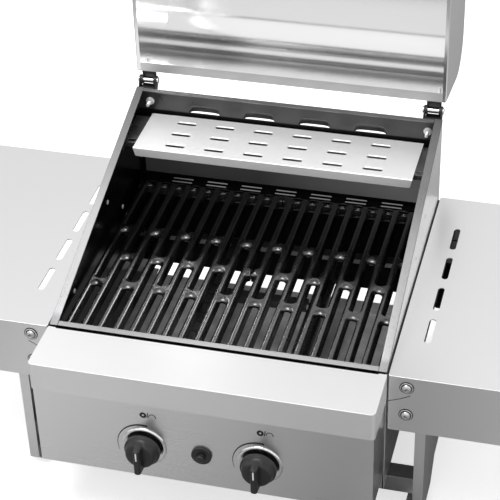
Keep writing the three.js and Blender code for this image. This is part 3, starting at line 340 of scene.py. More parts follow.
deck_steel = brushed_steel("deck_steel", (0.86, 0.86, 0.86), 0.46, "x", 0.25, 0.8)
hood_steel = brushed_steel("hood_steel", (0.85, 0.85, 0.85), 0.17, "x", 0.2)
# The hood's outside is the same sheet as its inside, in a darker, duller copy of the steel:
# painted shade that keeps the lamps' glare down.
hood_outer_shaded_steel = brushed_steel("hood_outer_shaded_steel", (0.66, 0.66, 0.665), 0.36, "x", 0.4)
shelf_steel = brushed_steel("shelf_steel", (0.89, 0.89, 0.895), 0.3, "y", 0.25)
base_steel = brushed_steel("base_steel", (0.85, 0.85, 0.85), 0.34, "z", 0.5)
panel_steel = brushed_steel("panel_steel", (0.9, 0.9, 0.9), 0.28, "x", 0.4)
grip_steel = brushed_steel("grip_steel", (0.6, 0.6, 0.605), 0.3, "x", 0.5)
rim_steel = brushed_steel("rim_steel", (0.42, 0.42, 0.425), 0.34, "y", 2)
plain_steel = brushed_steel("plain_steel", (0.42, 0.42, 0.43), 0.4, "x", 2.5)
dark_steel = brushed_steel("dark_steel", (0.13, 0.13, 0.132), 0.26, "x", 2.5)
rack_steel = brushed_steel("rack_steel", (0.97, 0.97, 0.97), 0.45, "x", 0.4, 0.45)
# The rack's lip is the same sheet as its top, in a brighter copy of the steel: painted light.
rack_lip_lit_steel = brushed_steel("rack_lip_lit_steel", (0.98, 0.98, 0.98), 0.5, "x", 0.8, 0.6)
rear_rim_steel = brushed_steel("rear_rim_steel", (0.16, 0.16, 0.162), 0.34, "x", 2)
baffle_steel = brushed_steel("baffle_steel", (0.8, 0.8, 0.805), 0.35, "x", 1.5, 0.2)
bead_steel = brushed_steel("bead_steel", (0.2, 0.2, 0.2), 0.3, "x", 1)
print("steels ready")

# %% [markdown]
# The inside of the firebox is fired enamel: glassy black over steel, with a faint ripple
# that bends the reflections. The bars are cast iron under the same enamel, so they are
# rougher to the touch and their skin is slightly pebbled. A higher index of refraction
# gives enamel its hard, wet shine.

# %% Enamel and cast iron
RIPPLES = 90
PEBBLES = 900
DUST = 25


def enamel(name, colour, roughness, ior, ripple, pebble):
    material, tree, shader, coordinates = start_finish(name, colour, 0, roughness, ior)
    skin = noise(tree, coordinates, [RIPPLES] * 3, 2)
    grit = noise(tree, coordinates, [PEBBLES] * 3, 3)
    dust = noise(tree, coordinates, [DUST] * 3, 4)
    spread(tree, dust, roughness - 0.05, roughness + 0.09, shader.inputs["Roughness"])
    tint(tree, dust, [c * 0.7 for c in colour], [c * 1.5 for c in colour],
         shader.inputs["Base Color"])
    under = relief(tree, shader, skin, ripple, 0.5)
    relief(tree, shader, grit, pebble, 0.5, under)
    return material


wall_enamel = enamel("wall_enamel", (0.004, 0.004, 0.0045), 0.2, 1.45, 0.25, 0.01)
back_enamel = enamel("back_enamel", (0.03, 0.03, 0.031), 0.3, 1.6, 0.25, 0.01)
bracket_enamel = enamel("bracket_enamel", (0.04, 0.04, 0.041), 0.25, 1.8, 0.15, 0.005)
cast_enamel = enamel("cast_enamel", (0.004, 0.004, 0.0043), 0.2, 2.1, 0.2, 0.003)
rack_soot_and_shade = enamel("rack_soot_and_shade", (0.006, 0.006, 0.006), 0.6, 1.25, 0.1, 0.02)
burner_iron = enamel("burner_iron", (0.02, 0.02, 0.02), 0.25, 2.0, 0.3, 0.5)
hinge_black = enamel("hinge_black", (0.015, 0.015, 0.016), 0.35, 1.5, 0.1, 0.02)
print("enamels ready")

# %% [markdown]
# Below the warming rack, on the inside only, the back wall loses its shine: a second, dull
# black shader takes over there, for soot and as painted shade under the rack. The line where
# it takes over is a height, because the smoke drifts up behind the baffle and leaves through
# the louvres.

# %% Soot and painted shade on the back wall
SOOT_AND_SHADE_LINE = 93
SOOT_AND_SHADE_FADE = 2
TURNED_BACK = 0.2


def coordinates_of(tree):
    return next(n for n in tree.nodes if n.bl_idname == "ShaderNodeTexCoord").outputs["Object"]


def second_shader(material, colour, roughness, ior, share):
    """Shows another plain shader in a material, by a share from 0 to 1."""
    tree = material.node_tree
    other = tree.nodes.new("ShaderNodeBsdfPrincipled")
    other.inputs["Base Color"].default_value = (*colour, 1)
    other.inputs["Roughness"].default_value = roughness
    other.inputs["IOR"].default_value = ior
    mix = tree.nodes.new("ShaderNodeMixShader")
    tree.links.new(share, mix.inputs["Fac"])
    tree.links.new(tree.nodes["Principled BSDF"].outputs["BSDF"], mix.inputs[1])
    tree.links.new(other.outputs["BSDF"], mix.inputs[2])
    tree.links.new(mix.outputs["Shader"], tree.nodes["Material Output"].inputs["Surface"])


tree = back_enamel.node_tree
level = shelf_top_z + SOOT_AND_SHADE_LINE * MM
undarkened = along(tree, coordinates_of(tree), "Z", level - SOOT_AND_SHADE_FADE * MM, level, ((0, 0), (1, 1)))
facing = tree.nodes.new("ShaderNodeNewGeometry").outputs["Normal"]
outside = along(tree, facing, "Y", 0, TURNED_BACK, ((0, 0), (1, 1)))
# Soot and painted shade: below the line, and only on the inside, a dull black shader.
soot_and_shade = math_node(tree, "SUBTRACT", 1.0, math_node(tree, "MAXIMUM", undarkened, outside))
second_shader(back_enamel, (0.0015, 0.0015, 0.0015), 0.6, 1.25, soot_and_shade)
print("soot below", SOOT_AND_SHADE_LINE, "mm")

# %% [markdown]
# The small parts have finishes of their own: bright plated screws, brass valves, black
# moulded knobs with a fine spark texture, rubber feet and a glazed ceramic electrode.

# %% Small finishes


def small_finish(name, colour, metal, roughness, grain, height, ior=1.5):
    material, tree, shader, coordinates = start_finish(name, colour, metal, roughness, ior)
    fine = noise(tree, coordinates, [grain] * 3)
    spread(tree, fine, roughness * 0.75, roughness * 1.3, shader.inputs["Roughness"])
    tint(tree, fine, [c * 0.85 for c in colour], [min(c * 1.1, 1) for c in colour],
         shader.inputs["Base Color"])
    relief(tree, shader, fine, height, 0.4)
    return material


bright_steel = small_finish("bright_steel", (0.9, 0.9, 0.91), 1, 0.1, 300, 0.01)
zinc_plate = small_finish("zinc_plate", (0.85, 0.85, 0.85), 0.4, 0.35, 300, 0.01)
screw_plate = small_finish("screw_plate", (0.72, 0.72, 0.72), 0.9, 0.22, 300, 0.01)
tray_zinc = small_finish("tray_zinc", (0.82, 0.82, 0.83), 0.1, 0.45, 60, 0.05)
DARKENED_COLOUR = (0.02, 0.02, 0.02, 1)
TRAY_PAINTED_SHADE = ((0, 0.3), (0.35, 0.45), (0.7, 0.85), (1, 1))
TRAY_REACH = 0.36
BAFFLE_LEVELS = ((0, 0.24), (0.4, 0.19), (0.75, 0.55), (1, 1))
BAFFLE_REACH = 0.2


def darken_along(material, axis, low, high, levels):
    """Darkens a finish along one direction."""
    tree = material.node_tree
    target = tree.nodes["Principled BSDF"].inputs["Base Color"]
    undarkened = target.links[0].from_socket
    share = along(tree, coordinates_of(tree), axis, low, high, levels)
    tree.links.new(blend(tree, share, DARKENED_COLOUR, undarkened, "RGBA"), target)


# On the grease tray this is painted shade: darker towards the front, away from the light that
# comes in at the back.
darken_along(tray_zinc, "Y", firebox_front_y, firebox_front_y + TRAY_REACH, TRAY_PAINTED_SHADE)
# The baffle is darker over its left half and lightens towards its right end.
darken_along(baffle_steel, "X", -BAFFLE_REACH, BAFFLE_REACH, BAFFLE_LEVELS)
brass = small_finish("brass", (0.62, 0.44, 0.2), 1, 0.28, 500, 0.02)
knob_plastic = small_finish("knob_plastic", (0.018, 0.018, 0.019), 0, 0.4, 1600, 0.03)
foot_rubber = small_finish("foot_rubber", (0.02, 0.02, 0.02), 0, 0.75, 900, 0.05)
glazed_ceramic = small_finish("glazed_ceramic", (0.8, 0.78, 0.72), 0, 0.18, 200, 0.02)
print(len(bpy.data.materials), "materials so far")

# %% [markdown]
# Most pieces here are bent sheet. A press never leaves a sharp fold, and that small radius
# is what catches the light. So a sheet is drawn as one surface: its outline is repeated in
# rings that step round the fold, the flat top is filled in between, and Solidify then
# gives it its real thickness. This keeps every fold and slot crisp with few faces.

# %% Tools for sheet metal
CORNER_STEPS = 5
FOLD_STEPS = 4
SAME_PLACE = 0.01


def quarter(steps):
    """Angles from nothing to a quarter turn."""
    return [math.pi / 2 * i / steps for i in range(steps + 1)]


def full_turn(steps):
    """Angles once round."""
    return [2 * math.pi * i / steps for i in range(steps)]


def round_corner(x, y, radius, start, steps):
    """The quarter circle of a corner about its centre, from an angle in degrees."""
    return [(x + radius * math.cos(a), y + radius * math.sin(a))
            for a in (math.radians(start + 90 * i / steps) for i in range(steps + 1))]


def bridge(bm, rows, closed=True, finish=0):
    """Faces between each row of corners and the next, in a ring or in an open run."""
    for near, far in zip(rows, rows[1:]):
        for i in range(len(near) if closed else len(near) - 1):
            j = (i + 1) % len(near)
            bm.faces.new((near[i], near[j], far[j], far[i])).material_index = finish


def rings(bm, outline, steps, closed=True):
    """Rings of corners joined by faces. A step is (inset, height)."""
    made = [[bm.verts.new((x, y, z(x, y) if callable(z) else z)) for x, y in outline(inset)]
            for inset, z in steps]
    for upper, lower in zip(made, made[1:]):
        for i in range(len(upper) if closed else len(upper) - 1):
            j = (i + 1) % len(upper)
            bm.faces.new((upper[i], lower[i], lower[j], upper[j]))
    return made


def fill(bm, *loops):
    """One flat face between an outer loop and the holes inside it, in triangles."""
    edges = []
    for loop in loops:
        for a, b in zip(loop, loop[1:] + loop[:1]):
            edges.append(bm.edges.get((a, b)) or bm.edges.new((a, b)))
    return bmesh.ops.triangle_fill(bm, use_beauty=True, use_dissolve=False, edges=edges)


def fold_steps(radius, end):
    """A quarter round from the flat top down to a wall that ends at a height."""
    return [(radius * (1 - math.sin(a)), -radius * (1 - math.cos(a)))
            for a in quarter(FOLD_STEPS)] + [(0, end)]


def slot_outline(centre, length, width, upright=False, steps=8):
    """A slot with round ends, as a function of how far it is widened."""
    def outline(widened):
        r = width / 2 + widened
        run = (length - width) / 2
        points = []
        for end in (1, -1):
            for i in range(steps + 1):
                a = math.pi * (i / steps - 0.5)
                points.append((end * (run + r * math.cos(a)), end * r * math.sin(a)))
        if upright:
            points = [(-v, u) for u, v in points]
        return [(centre[0] + u, centre[1] + v) for u, v in points]
    return outline


def finish_piece(name, bm, materials, body="grill", stands_for=(), thickness=0,
                 sharp=32, up=None, offset=-1, under=0):
    """Turns a drawing into a piece: places it, gives it thickness and finish, lets it ride."""
    bm.transform(TO_PLACE)
    bmesh.ops.recalc_face_normals(bm, faces=bm.faces)
    if up:
        face = max(bm.faces, key=lambda f: f.calc_area() * (abs(f.normal.dot(Vector(up))) > 0.9))
        if face.normal.dot(Vector(up)) < 0:
            bmesh.ops.reverse_faces(bm, faces=bm.faces)
    mesh = bpy.data.meshes.new(name)
    bm.to_mesh(mesh)
    bm.free()
    piece = bpy.data.objects.new(name, mesh)
    bpy.context.scene.collection.objects.link(piece)
    for material in materials:
        mesh.materials.append(material)
    if thickness:
        wall = piece.modifiers.new("thickness", "SOLIDIFY")
        wall.thickness = thickness * MM
        wall.offset = offset
        wall.use_even_offset = True
        wall.material_offset = under
        wall.material_offset_rim = under
        shown = piece.evaluated_get(bpy.context.evaluated_depsgraph_get())
        piece.data = bpy.data.meshes.new_from_object(shown)
        piece.data.name = name
        piece.modifiers.clear()
    shade(piece, sharp)
    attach(piece, body)
    if stands_for:
        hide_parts(*stands_for)
    print(name, len(piece.data.polygons), "faces")
    return piece


def weigh_normals(piece):
    normals = piece.modifiers.new("flat_shading", "WEIGHTED_NORMAL")
    normals.keep_sharp = True


def shade(piece, sharp):
    """Smooth shading, with a hard edge wherever two faces turn more than an angle."""
    bm = bmesh.new()
    bm.from_mesh(piece.data)
    for face in bm.faces:
        face.smooth = True
    for edge in bm.edges:
        if len(edge.link_faces) == 2:
            edge.smooth = edge.calc_face_angle(0) < math.radians(sharp)
    bm.to_mesh(piece.data)
    bm.free()
    weigh_normals(piece)


# %% [markdown]
# A solid that is already right gets its finish, and its edges are broken the way a file
# would do it. Its mesh isn't touched: modifiers merge the flat triangles and put a narrow
# bevel on the sharp edges, which gives each edge a line of light.

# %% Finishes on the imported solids
MERGE = 1e-6
SAME_PLANE = math.radians(1)
BROKEN_EDGE = math.radians(38)


def dress(name, material, edge):
    piece = solids[name]
    piece.data.materials.clear()
    piece.data.materials.append(material)
    for face in piece.data.polygons:
        face.use_smooth = True
    weld = piece.modifiers.new("weld", "WELD")
    weld.merge_threshold = MERGE
    flat = piece.modifiers.new("flat_faces", "DECIMATE")
    flat.decimate_type = "DISSOLVE"
    flat.angle_limit = SAME_PLANE
    bevel = piece.modifiers.new("broken_edges", "BEVEL")
    bevel.width = edge * MM
    bevel.segments = 2
    bevel.limit_method = "ANGLE"
    bevel.angle_limit = BROKEN_EDGE
    weigh_normals(piece)


for name, material, edge in (
        ("rear_baffle", baffle_steel, 0.4), ("grate_rail_front", wall_enamel, 0.3),
        ("grate_rail_rear", dark_steel, 0.5), ("burner_rest", plain_steel, 0.3),
        ("burner_crossover", burner_iron, 0.3), ("base_rail_front", plain_steel, 0.3),
        ("base_rail_rear", plain_steel, 0.3), ("control_panel", panel_steel, 0.4),
        ("grease_tray", tray_zinc, 0.3), ("gas_inlet", brass, 0.3),
        ("gas_manifold", plain_steel, 0.3), ("igniter_body", knob_plastic, 0.4),
        ("igniter_electrode", glazed_ceramic, 0.1), ("igniter_button", knob_plastic, 0.3)):
    dress(name, material, edge)
for _, side_name in SIDES:
    for name, material, edge in (("rack_bracket", bracket_enamel, 0.5),
                                 ("base_side", base_steel, 0.3), ("valve", brass, 0.3),
                                 ("hinge_mount", hinge_black, 0.2),
                                 ("hinge_leaf", hinge_black, 0.2),
                                 ("knob_stem", bright_steel, 0.2)):
        dress(f"{name}_{side_name}", material, edge)

# %% [markdown]
# Each side of the firebox is one sheet. Its rim and outer face are bare satin steel and
# its inner face is enamelled black. Two materials on one mesh would need new faces, so one
# material does both: it goes over to black where a point lies inside the wall and below the
# sloping rim. The rim's steel is darker at its very front and towards the back, and changes
# from side to side. A painted shadow line runs just below the rim on the outside, and below
# it the outer face is painted lighter than the rim. The places come from the solid, in the
# grill's own coordinates.

# %% Steel outside, enamel inside
RIM_ANGLE = math.radians(17.7)
RIM_SLOPE = math.tan(RIM_ANGLE)
RIM_FRONT = 1.3
FIREBOX_HALF = 215
FIREBOX_DEPTH = 388
ENAMEL_INSET = 0.7
SEAM_TOP = 0.8
SEAM_FOOT = 2.6
BLACK = (0, 0, 0, 1)
SEAM_PAINTED_SHADOW = (0.004, 0.004, 0.004, 1)
SKIN_PAINTED_LIGHT = (0.95, 0.95, 0.95, 1)
RIM_DEPTH_LEVELS = ((0, 0.62), (0.03, 0.66), (0.05, 1), (0.45, 1), (1, 0.42))
RIM_SIDE_LEVELS = ((0, 1), (0.15, 0.75), (0.6, 0.9), (1, 0.9))


def rim_at(y):
    return RIM_FRONT + y * RIM_SLOPE


def two_sided(name, steel):
    """Steel, with black wherever a point is inside the walls and below the rim."""
    material = steel.copy()
    material.name = name
    tree = material.node_tree
    colour = tree.nodes["Principled BSDF"].inputs["Base Color"]
    spot = coordinates_of(tree)
    parts = tree.nodes.new("ShaderNodeSeparateXYZ")
    tree.links.new(spot, parts.inputs["Vector"])

    def worked(*terms):
        return math_node(tree, *terms)

    across = worked("ABSOLUTE", parts.outputs["X"])
    back = worked("SUBTRACT", parts.outputs["Y"], firebox_front_y)
    rim = worked("ADD", worked("MULTIPLY", back, RIM_SLOPE), shelf_top_z + RIM_FRONT * MM)
    depth = worked("SUBTRACT", rim, parts.outputs["Z"])
    below = worked("GREATER_THAN", depth, SEAM_TOP * MM)
    # A painted shadow line on the outer face, just below the rim.
    seam = worked("MULTIPLY", below, worked("LESS_THAN", depth, SEAM_FOOT * MM))
    within = worked("MULTIPLY", worked("LESS_THAN", across, (FIREBOX_HALF - ENAMEL_INSET) * MM),
                    worked("LESS_THAN", back, (FIREBOX_DEPTH - ENAMEL_INSET) * MM))
    # The rim's steel is darker at its very front and towards the back, and changes from side to
    # side.
    depth_levels = stepped(tree, worked("DIVIDE", back, FIREBOX_DEPTH * MM), RIM_DEPTH_LEVELS)
    side_levels = along(tree, spot, "X", -FIREBOX_HALF * MM, FIREBOX_HALF * MM, RIM_SIDE_LEVELS)
    bare = colour.links[0].from_socket
    rim_colour = blend(tree, depth_levels, BLACK, blend(tree, side_levels, BLACK, bare, "RGBA"), "RGBA")
    # Below the seam, the outer face is painted lighter than the rim, though it is the same
    # steel.
    outside = worked("GREATER_THAN", depth, SEAM_FOOT * MM)
    skin = blend(tree, outside, rim_colour, SKIN_PAINTED_LIGHT, "RGBA")
    tree.links.new(blend(tree, seam, skin, SEAM_PAINTED_SHADOW, "RGBA"), colour)
    second_shader(material, (0.004, 0.004, 0.0045), 0.2, 1.5, worked("MULTIPLY", within, below))
    return material


firebox_finish = two_sided("firebox_finish", rim_steel)
for name, edge in (("firebox_side_left", 0.5), ("firebox_side_right", 0.5),
                   ("firebox_front", 0.25)):
    dress(name, firebox_finish, edge)
print("firebox walls finished")

# %% [markdown]
# A side shelf is a tray turned upside down: a flat top with four heat slots, a tall front
# fascia, and skirts that grow shallower to the back. Its closed ring of walls is folded
# from the top, so one outline with rounded corners makes all of it. Only the lowest ring
# differs from side to side, and it is a function of the place.

# %% The side shelves
SHELF_INNER = 217.25
SHELF_OUTER = 447.25
SHELF_FRONT = -3.9
SHELF_BACK = 388
SHELF_CORNER = 2.6
SHELF_FOLD = 0.4
FASCIA_HEIGHT = 85
SKIRT_HEIGHT = 45
INNER_SKIRT_HEIGHT = 30
SKIN = 1.2
END_ZONE = 1.5
SIDE_ZONE = 1
HEAT_SLOTS = 4
HEAT_SLOT_SIZE = (48.3, 8.4)
HEAT_SLOT_IN = 34.75
HEAT_SLOT_FIRST = 91
HEAT_SLOT_PITCH = 67.2


def rounded_box(low, high, radius):
    """A rectangle with rounded corners, as a function of its inset."""
    def outline(inset):
        r = max(radius - inset, 0.05)
        points = []
        for cx, cy, start in ((high[0] - radius, high[1] - radius, 0),
                              (low[0] + radius, high[1] - radius, 90),
                              (low[0] + radius, low[1] + radius, 180),
                              (high[0] - radius, low[1] + radius, 270)):
            points += round_corner(cx, cy, r, start, CORNER_STEPS)
        return points
    return outline


def shelf_drop(x, y):
    """How far the walls hang below the shelf's top at a place."""
    if y < SHELF_FRONT + END_ZONE:
        return -FASCIA_HEIGHT
    if y > SHELF_BACK - END_ZONE:
        return -SKIRT_HEIGHT
    if abs(x) < SHELF_INNER + SIDE_ZONE:
        return -INNER_SKIRT_HEIGHT
    share = min((y - SHELF_FRONT) / (SHELF_BACK / 2 - SHELF_FRONT), 1)
    return -FASCIA_HEIGHT + (FASCIA_HEIGHT - SKIRT_HEIGHT) * share


def side_shelf(side, name):
    bm = bmesh.new()
    low, high = sorted((side * SHELF_INNER, side * SHELF_OUTER))
    box_outline = rounded_box((low, SHELF_FRONT), (high, SHELF_BACK), SHELF_CORNER)
    middle = SHELF_BACK / 2

    def outline(inset):
        points = box_outline(inset)
        outer = max(points, key=lambda p: side * p[0])[0]
        at = points.index(min((p for p in points if abs(p[0] - outer) < 0.01),
                              key=lambda p: abs(p[1] - SHELF_BACK)))
        nxt = at + 1 if side < 0 else at
        return points[:nxt] + [(outer, middle)] + points[nxt:]

    walls = rings(bm, outline, fold_steps(SHELF_FOLD, shelf_drop))
    slots = []
    for i in range(HEAT_SLOTS):
        centre = (side * (SHELF_INNER + HEAT_SLOT_IN), HEAT_SLOT_FIRST + i * HEAT_SLOT_PITCH)
        slot = slot_outline(centre, *HEAT_SLOT_SIZE, upright=True)
        slots.append([bm.verts.new((x, y, 0)) for x, y in slot(0)])
    fill(bm, walls[0], *slots)
    finish_piece(f"side_shelf_{name}", bm, [shelf_steel],
                 stands_for=[f"shelf_{name}"], thickness=SKIN, up=(0, 0, 1))


for side, name in SIDES:
    side_shelf(side, name)

# %% [markdown]
# The console cover is a shallow box without a back: a ledge, a lip of nearly 40 mm and two
# cheeks, with round corners in front. It is folded the same way as the shelves, but its
# walls are an open run, from the back of one cheek round to the back of the other.

# %% The console cover
CONSOLE_HALF = 215.9
CONSOLE_FRONT = -78.9
CONSOLE_BACK = -2.9
CONSOLE_RECESS = 1.8
CONSOLE_EAR = 10
CONSOLE_CORNER = 6
CONSOLE_LIP = 39.4
CONSOLE_SHEET = 1.5
CONSOLE_FOLD = 0.5
CONSOLE_ARC_STEPS = 6
NOTCH_CUT = 1.2


def console_outline(inset):
    half, front = CONSOLE_HALF - inset, CONSOLE_FRONT + inset
    r = CONSOLE_CORNER - inset
    points = [(-half, CONSOLE_BACK)]
    for side in (-1, 1):
        arc = [(side * (half - r + r * math.cos(a)), front + r - r * math.sin(a))
               for a in quarter(CONSOLE_ARC_STEPS)]
        points += arc if side < 0 else arc[::-1]
    return points + [(half, CONSOLE_BACK)]


bm = bmesh.new()
walls = rings(bm, console_outline, fold_steps(CONSOLE_FOLD, -CONSOLE_LIP), closed=False)
ear = CONSOLE_HALF - CONSOLE_EAR
edge = CONSOLE_BACK - CONSOLE_RECESS
notch = [bm.verts.new((x, y, 0)) for x, y in (
    (ear, CONSOLE_BACK), (ear, edge + NOTCH_CUT), (ear - NOTCH_CUT, edge),
    (-ear + NOTCH_CUT, edge), (-ear, edge + NOTCH_CUT), (-ear, CONSOLE_BACK))]
fill(bm, walls[0] + notch)
finish_piece("console_top", bm, [deck_steel], stands_for=["console_cover"],
             thickness=CONSOLE_SHEET, up=(0, 0, 1))

# %% [markdown]
# The cooking grates are the heart of the picture. Each is one casting: ten bars with
# rounded tops, joined by webs that step from gap to gap, and slots that narrow downwards so
# that the casting could leave its mould. The slots are rings again. Each starts on the
# flat top, rolls over the bar's shoulder and drops down the flank, and the flat left
# between all the slots is filled at the top and at the bottom. The bar ends bend down
# in front, where they pass under the rim.

# %% The cooking grates
GRATE_TOP = -14.2
GRATE_BOTTOM = -25.2
GRATE_FRONT = 8
GRATE_BACK = 366
GRATE_END = 10
GRATE_HALF = 213.5
GRATE_CORNER = 4.5
BARS = 10
BAR_TOP = 8.8
BAR_FOOT = 12
GRATE_GAP = 4.675
GRATE_PITCH = (GRATE_HALF - GRATE_GAP - BAR_FOOT / 2) / (BARS - 0.5)
WEB = 12
WEB_SHARES = ((0.4885,), (0.315, 0.663))
SEAM = 0.6
SHOULDER = 4.1
SHOULDER_FALL = 3.6
SHOULDER_STEPS = 9
WEB_DEPTH = 5.6
WEB_ROUND = 1.35
WEB_CRISP = 0.35
WEB_STEPS = 14
CHANNEL_STEP = 0.15
NOSE_LENGTH = 14
NOSE_DROP = 6


def flank(z):
    """How far the bar's flank stands out from its top's edge at a height, as an inset."""
    fall = (GRATE_TOP - SHOULDER_FALL - z) / (GRATE_TOP - SHOULDER_FALL - GRATE_BOTTOM)
    return (BAR_TOP - BAR_FOOT) / 2 * fall


def shoulder_steps(end):
    """The bar's section from the flat on top, round the shoulder and down to a height."""
    steps = [(SHOULDER * (1 - math.sin(a)), GRATE_TOP - SHOULDER_FALL * (1 - math.cos(a)))
             for a in quarter(SHOULDER_STEPS)]
    return steps + [(flank(end), end)]


def gap_slots(gap):
    """The front and back ends of the slots in one gap between bars."""
    length = GRATE_BACK - GRATE_FRONT
    ends = [GRATE_FRONT + GRATE_END]
    for share in WEB_SHARES[gap % 2]:
        middle = GRATE_FRONT + length * share
        ends += [middle - WEB / 2, middle + WEB / 2]
    ends.append(GRATE_BACK - GRATE_END)
    return list(zip(ends[::2], ends[1::2]))


def grate_edge(side):
    """The casting's outer edge, with the half slots along the seam, by its inset."""
    edge = GRATE_PITCH * (BARS - 0.5) + BAR_TOP / 2

    def outline(inset):
        keep = max(inset, 0)
        seam = SEAM + keep
        outer = edge - inset
        front, back = GRATE_FRONT + keep, GRATE_BACK - keep
        r = GRATE_CORNER - keep
        points = [(seam, front)]
        points += round_corner(outer - r, front + r, r, -90, 4)
        points += round_corner(outer - r, back - r, r, 0, 4)
        points.append((seam, back))
        half = (GRATE_PITCH - BAR_TOP) / 2 + inset
        reach = (GRATE_PITCH - BAR_TOP) / 2
        for low, high in reversed(gap_slots(0)):
            first = math.asin(min(seam / half, 1))
            for end, centre in ((1, high - reach), (-1, low + reach)):
                angles = [first + (math.pi / 2 - first) * i / 8 for i in range(9)]
                long = half + max(inset, 0) * (WEB_ROUND if end > 0 else WEB_CRISP - 1)
                arc = [(half * math.sin(a), centre + end * long * math.cos(a)) for a in angles]
                points += arc if end > 0 else arc[::-1]
        return [(side * x, y) for x, y in points]
    return outline


def web_slot(x, low, high):
    """A slot between two webs, whose far end rolls over more gently than its sides."""
    plain = slot_outline((x, (low + high) / 2), high - low, GRATE_PITCH - BAR_TOP,
                         upright=True, steps=WEB_STEPS)
    reach = (GRATE_PITCH - BAR_TOP) / 2
    far, near = high - reach, low + reach

    def outline(inset):
        half = reach + inset
        longer = 1 + max(inset, 0) * WEB_ROUND / half
        shorter = 1 - max(inset, 0) * (1 - WEB_CRISP) / half
        points = []
        for px, py in plain(inset):
            if py > far:
                py = far + (py - far) * longer
            elif py < near:
                py = near + (py - near) * shorter
            points.append((px, py))
        return points
    return outline


def cooking_grate(side, name):
    bm = bmesh.new()
    edge = rings(bm, grate_edge(side), shoulder_steps(GRATE_BOTTOM))
    tops, feet = [edge[0]], [edge[-1]]
    web_foot = GRATE_TOP - WEB_DEPTH
    for gap in range(1, BARS):
        x = side * gap * GRATE_PITCH
        mouths = []
        for low, high in gap_slots(gap):
            slot = rings(bm, web_slot(x, low, high), shoulder_steps(web_foot))
            tops.append(slot[0])
            mouths.append(slot[-1])
        run = gap_slots(gap)
        channel = slot_outline((x, (run[0][0] + run[-1][1]) / 2), run[-1][1] - run[0][0],
                               GRATE_PITCH - BAR_TOP, upright=True, steps=WEB_STEPS)
        lower = rings(bm, channel, [(flank(web_foot) + CHANNEL_STEP, web_foot),
                                    (flank(GRATE_BOTTOM), GRATE_BOTTOM)])
        fill(bm, lower[0], *mouths)
        feet.append(lower[-1])
    fill(bm, *tops)
    fill(bm, *feet)
    for vertex in bm.verts:
        into = (GRATE_FRONT + NOSE_LENGTH - vertex.co.y) / NOSE_LENGTH
        if into > 0:
            depth = NOSE_DROP / (GRATE_TOP - GRATE_BOTTOM) * into * into
            vertex.co.z = GRATE_BOTTOM + (vertex.co.z - GRATE_BOTTOM) * (1 - depth)
    finish_piece(f"grate_casting_{name}", bm, [cast_enamel],
                 stands_for=[f"cooking_grate_{name}"], sharp=40)


for side, name in SIDES:
    cooking_grate(side, name)

# %% [markdown]
# The warming rack is a pierced sheet. Its slots are pressed as well as cut: the far side of
# each rolls down into the throat, so it shows a bright roll and a dark line beneath. The
# rings follow that roll, and Solidify gives the whole rack one thickness. Its underside and
# its cut edges get a dull black finish of their own: soot, and painted shade in the throat
# of each slot and under the rack.

# %% The warming rack
RACK_HALF = 191.95
RACK_FRONT = 288.9
RACK_BACK = 382.7
RACK_TOP = 88.2
RACK_LIP = 13
RACK_TAPER = 3
RACK_REAR_LIP = 7
RACK_REAR_INSET = 29
RACK_FOLD = 1.6
RACK_ROUND = 2
THROAT_WIDTH = 6.3
SLOT_ROLL = 2.6
SLOT_DROP = 1.4
SLOT_CRISP = 0.3
ROLL_STEPS = 5
RACK_COLUMNS = 6
RACK_COLUMN_PITCH = 54.6
RACK_ROWS = 3
RACK_ROW_PITCH = 29.3
RACK_FIRST_ROW = 16.6
RACK_SLOT_LENGTH = 27


def pressed_slot(centre):
    """A slot whose far side rolls down into the throat, by the share of the roll left."""
    middle = centre[1] - SLOT_ROLL / 2
    throat = slot_outline((centre[0], middle), RACK_SLOT_LENGTH, THROAT_WIDTH, steps=9)

    def outline(share):
        points = []
        for x, y in throat(0):
            far = max(y - middle, 0) / (THROAT_WIDTH / 2)
            points.append((x + SLOT_CRISP * share * math.copysign(1, x - centre[0]),
                           y + share * (SLOT_ROLL * far - SLOT_CRISP * (1 - far))))
        return points
    return outline


roll = [(1 - math.sin(a), RACK_TOP - SLOT_DROP * (1 - math.cos(a)))
        for a in quarter(ROLL_STEPS)]
bm = bmesh.new()
front_y, back_y = RACK_FRONT + RACK_FOLD, RACK_BACK - RACK_FOLD
outer = [(-RACK_HALF, front_y), (RACK_HALF, front_y), (RACK_HALF, back_y), (-RACK_HALF, back_y)]
loops = [[bm.verts.new((x, y, RACK_TOP)) for x, y in outer]]
for column in range(RACK_COLUMNS):
    for row in range(RACK_ROWS):
        centre = ((column - (RACK_COLUMNS - 1) / 2) * RACK_COLUMN_PITCH,
                  RACK_FRONT + RACK_FIRST_ROW + row * RACK_ROW_PITCH)
        loops.append(rings(bm, pressed_slot(centre), roll)[0])
fill(bm, *loops)


def rack_lip(y, outward, depth, half):
    """A lip folded down from an edge of the rack, its ends cut at a slant."""
    slant = RACK_TAPER * (depth - RACK_FOLD - RACK_ROUND) / (depth - RACK_FOLD)
    rows = [(y + outward * RACK_FOLD * math.sin(a),
             RACK_TOP - RACK_FOLD * (1 - math.cos(a)), half) for a in quarter(3)]
    rows += [(y + outward * RACK_FOLD, RACK_TOP - depth + RACK_ROUND * (1 - math.sin(a)),
              half - slant - RACK_ROUND * (1 - math.cos(a))) for a in quarter(4)]
    made = [[bm.verts.new((side * h, yy, z)) for side in (-1, 1)] for yy, z, h in rows]
    bridge(bm, made, closed=False, finish=1)


rack_lip(front_y, -1, RACK_LIP, RACK_HALF)
rack_lip(back_y, 1, RACK_REAR_LIP, RACK_HALF - RACK_REAR_INSET)
bmesh.ops.remove_doubles(bm, verts=bm.verts, dist=SAME_PLACE)
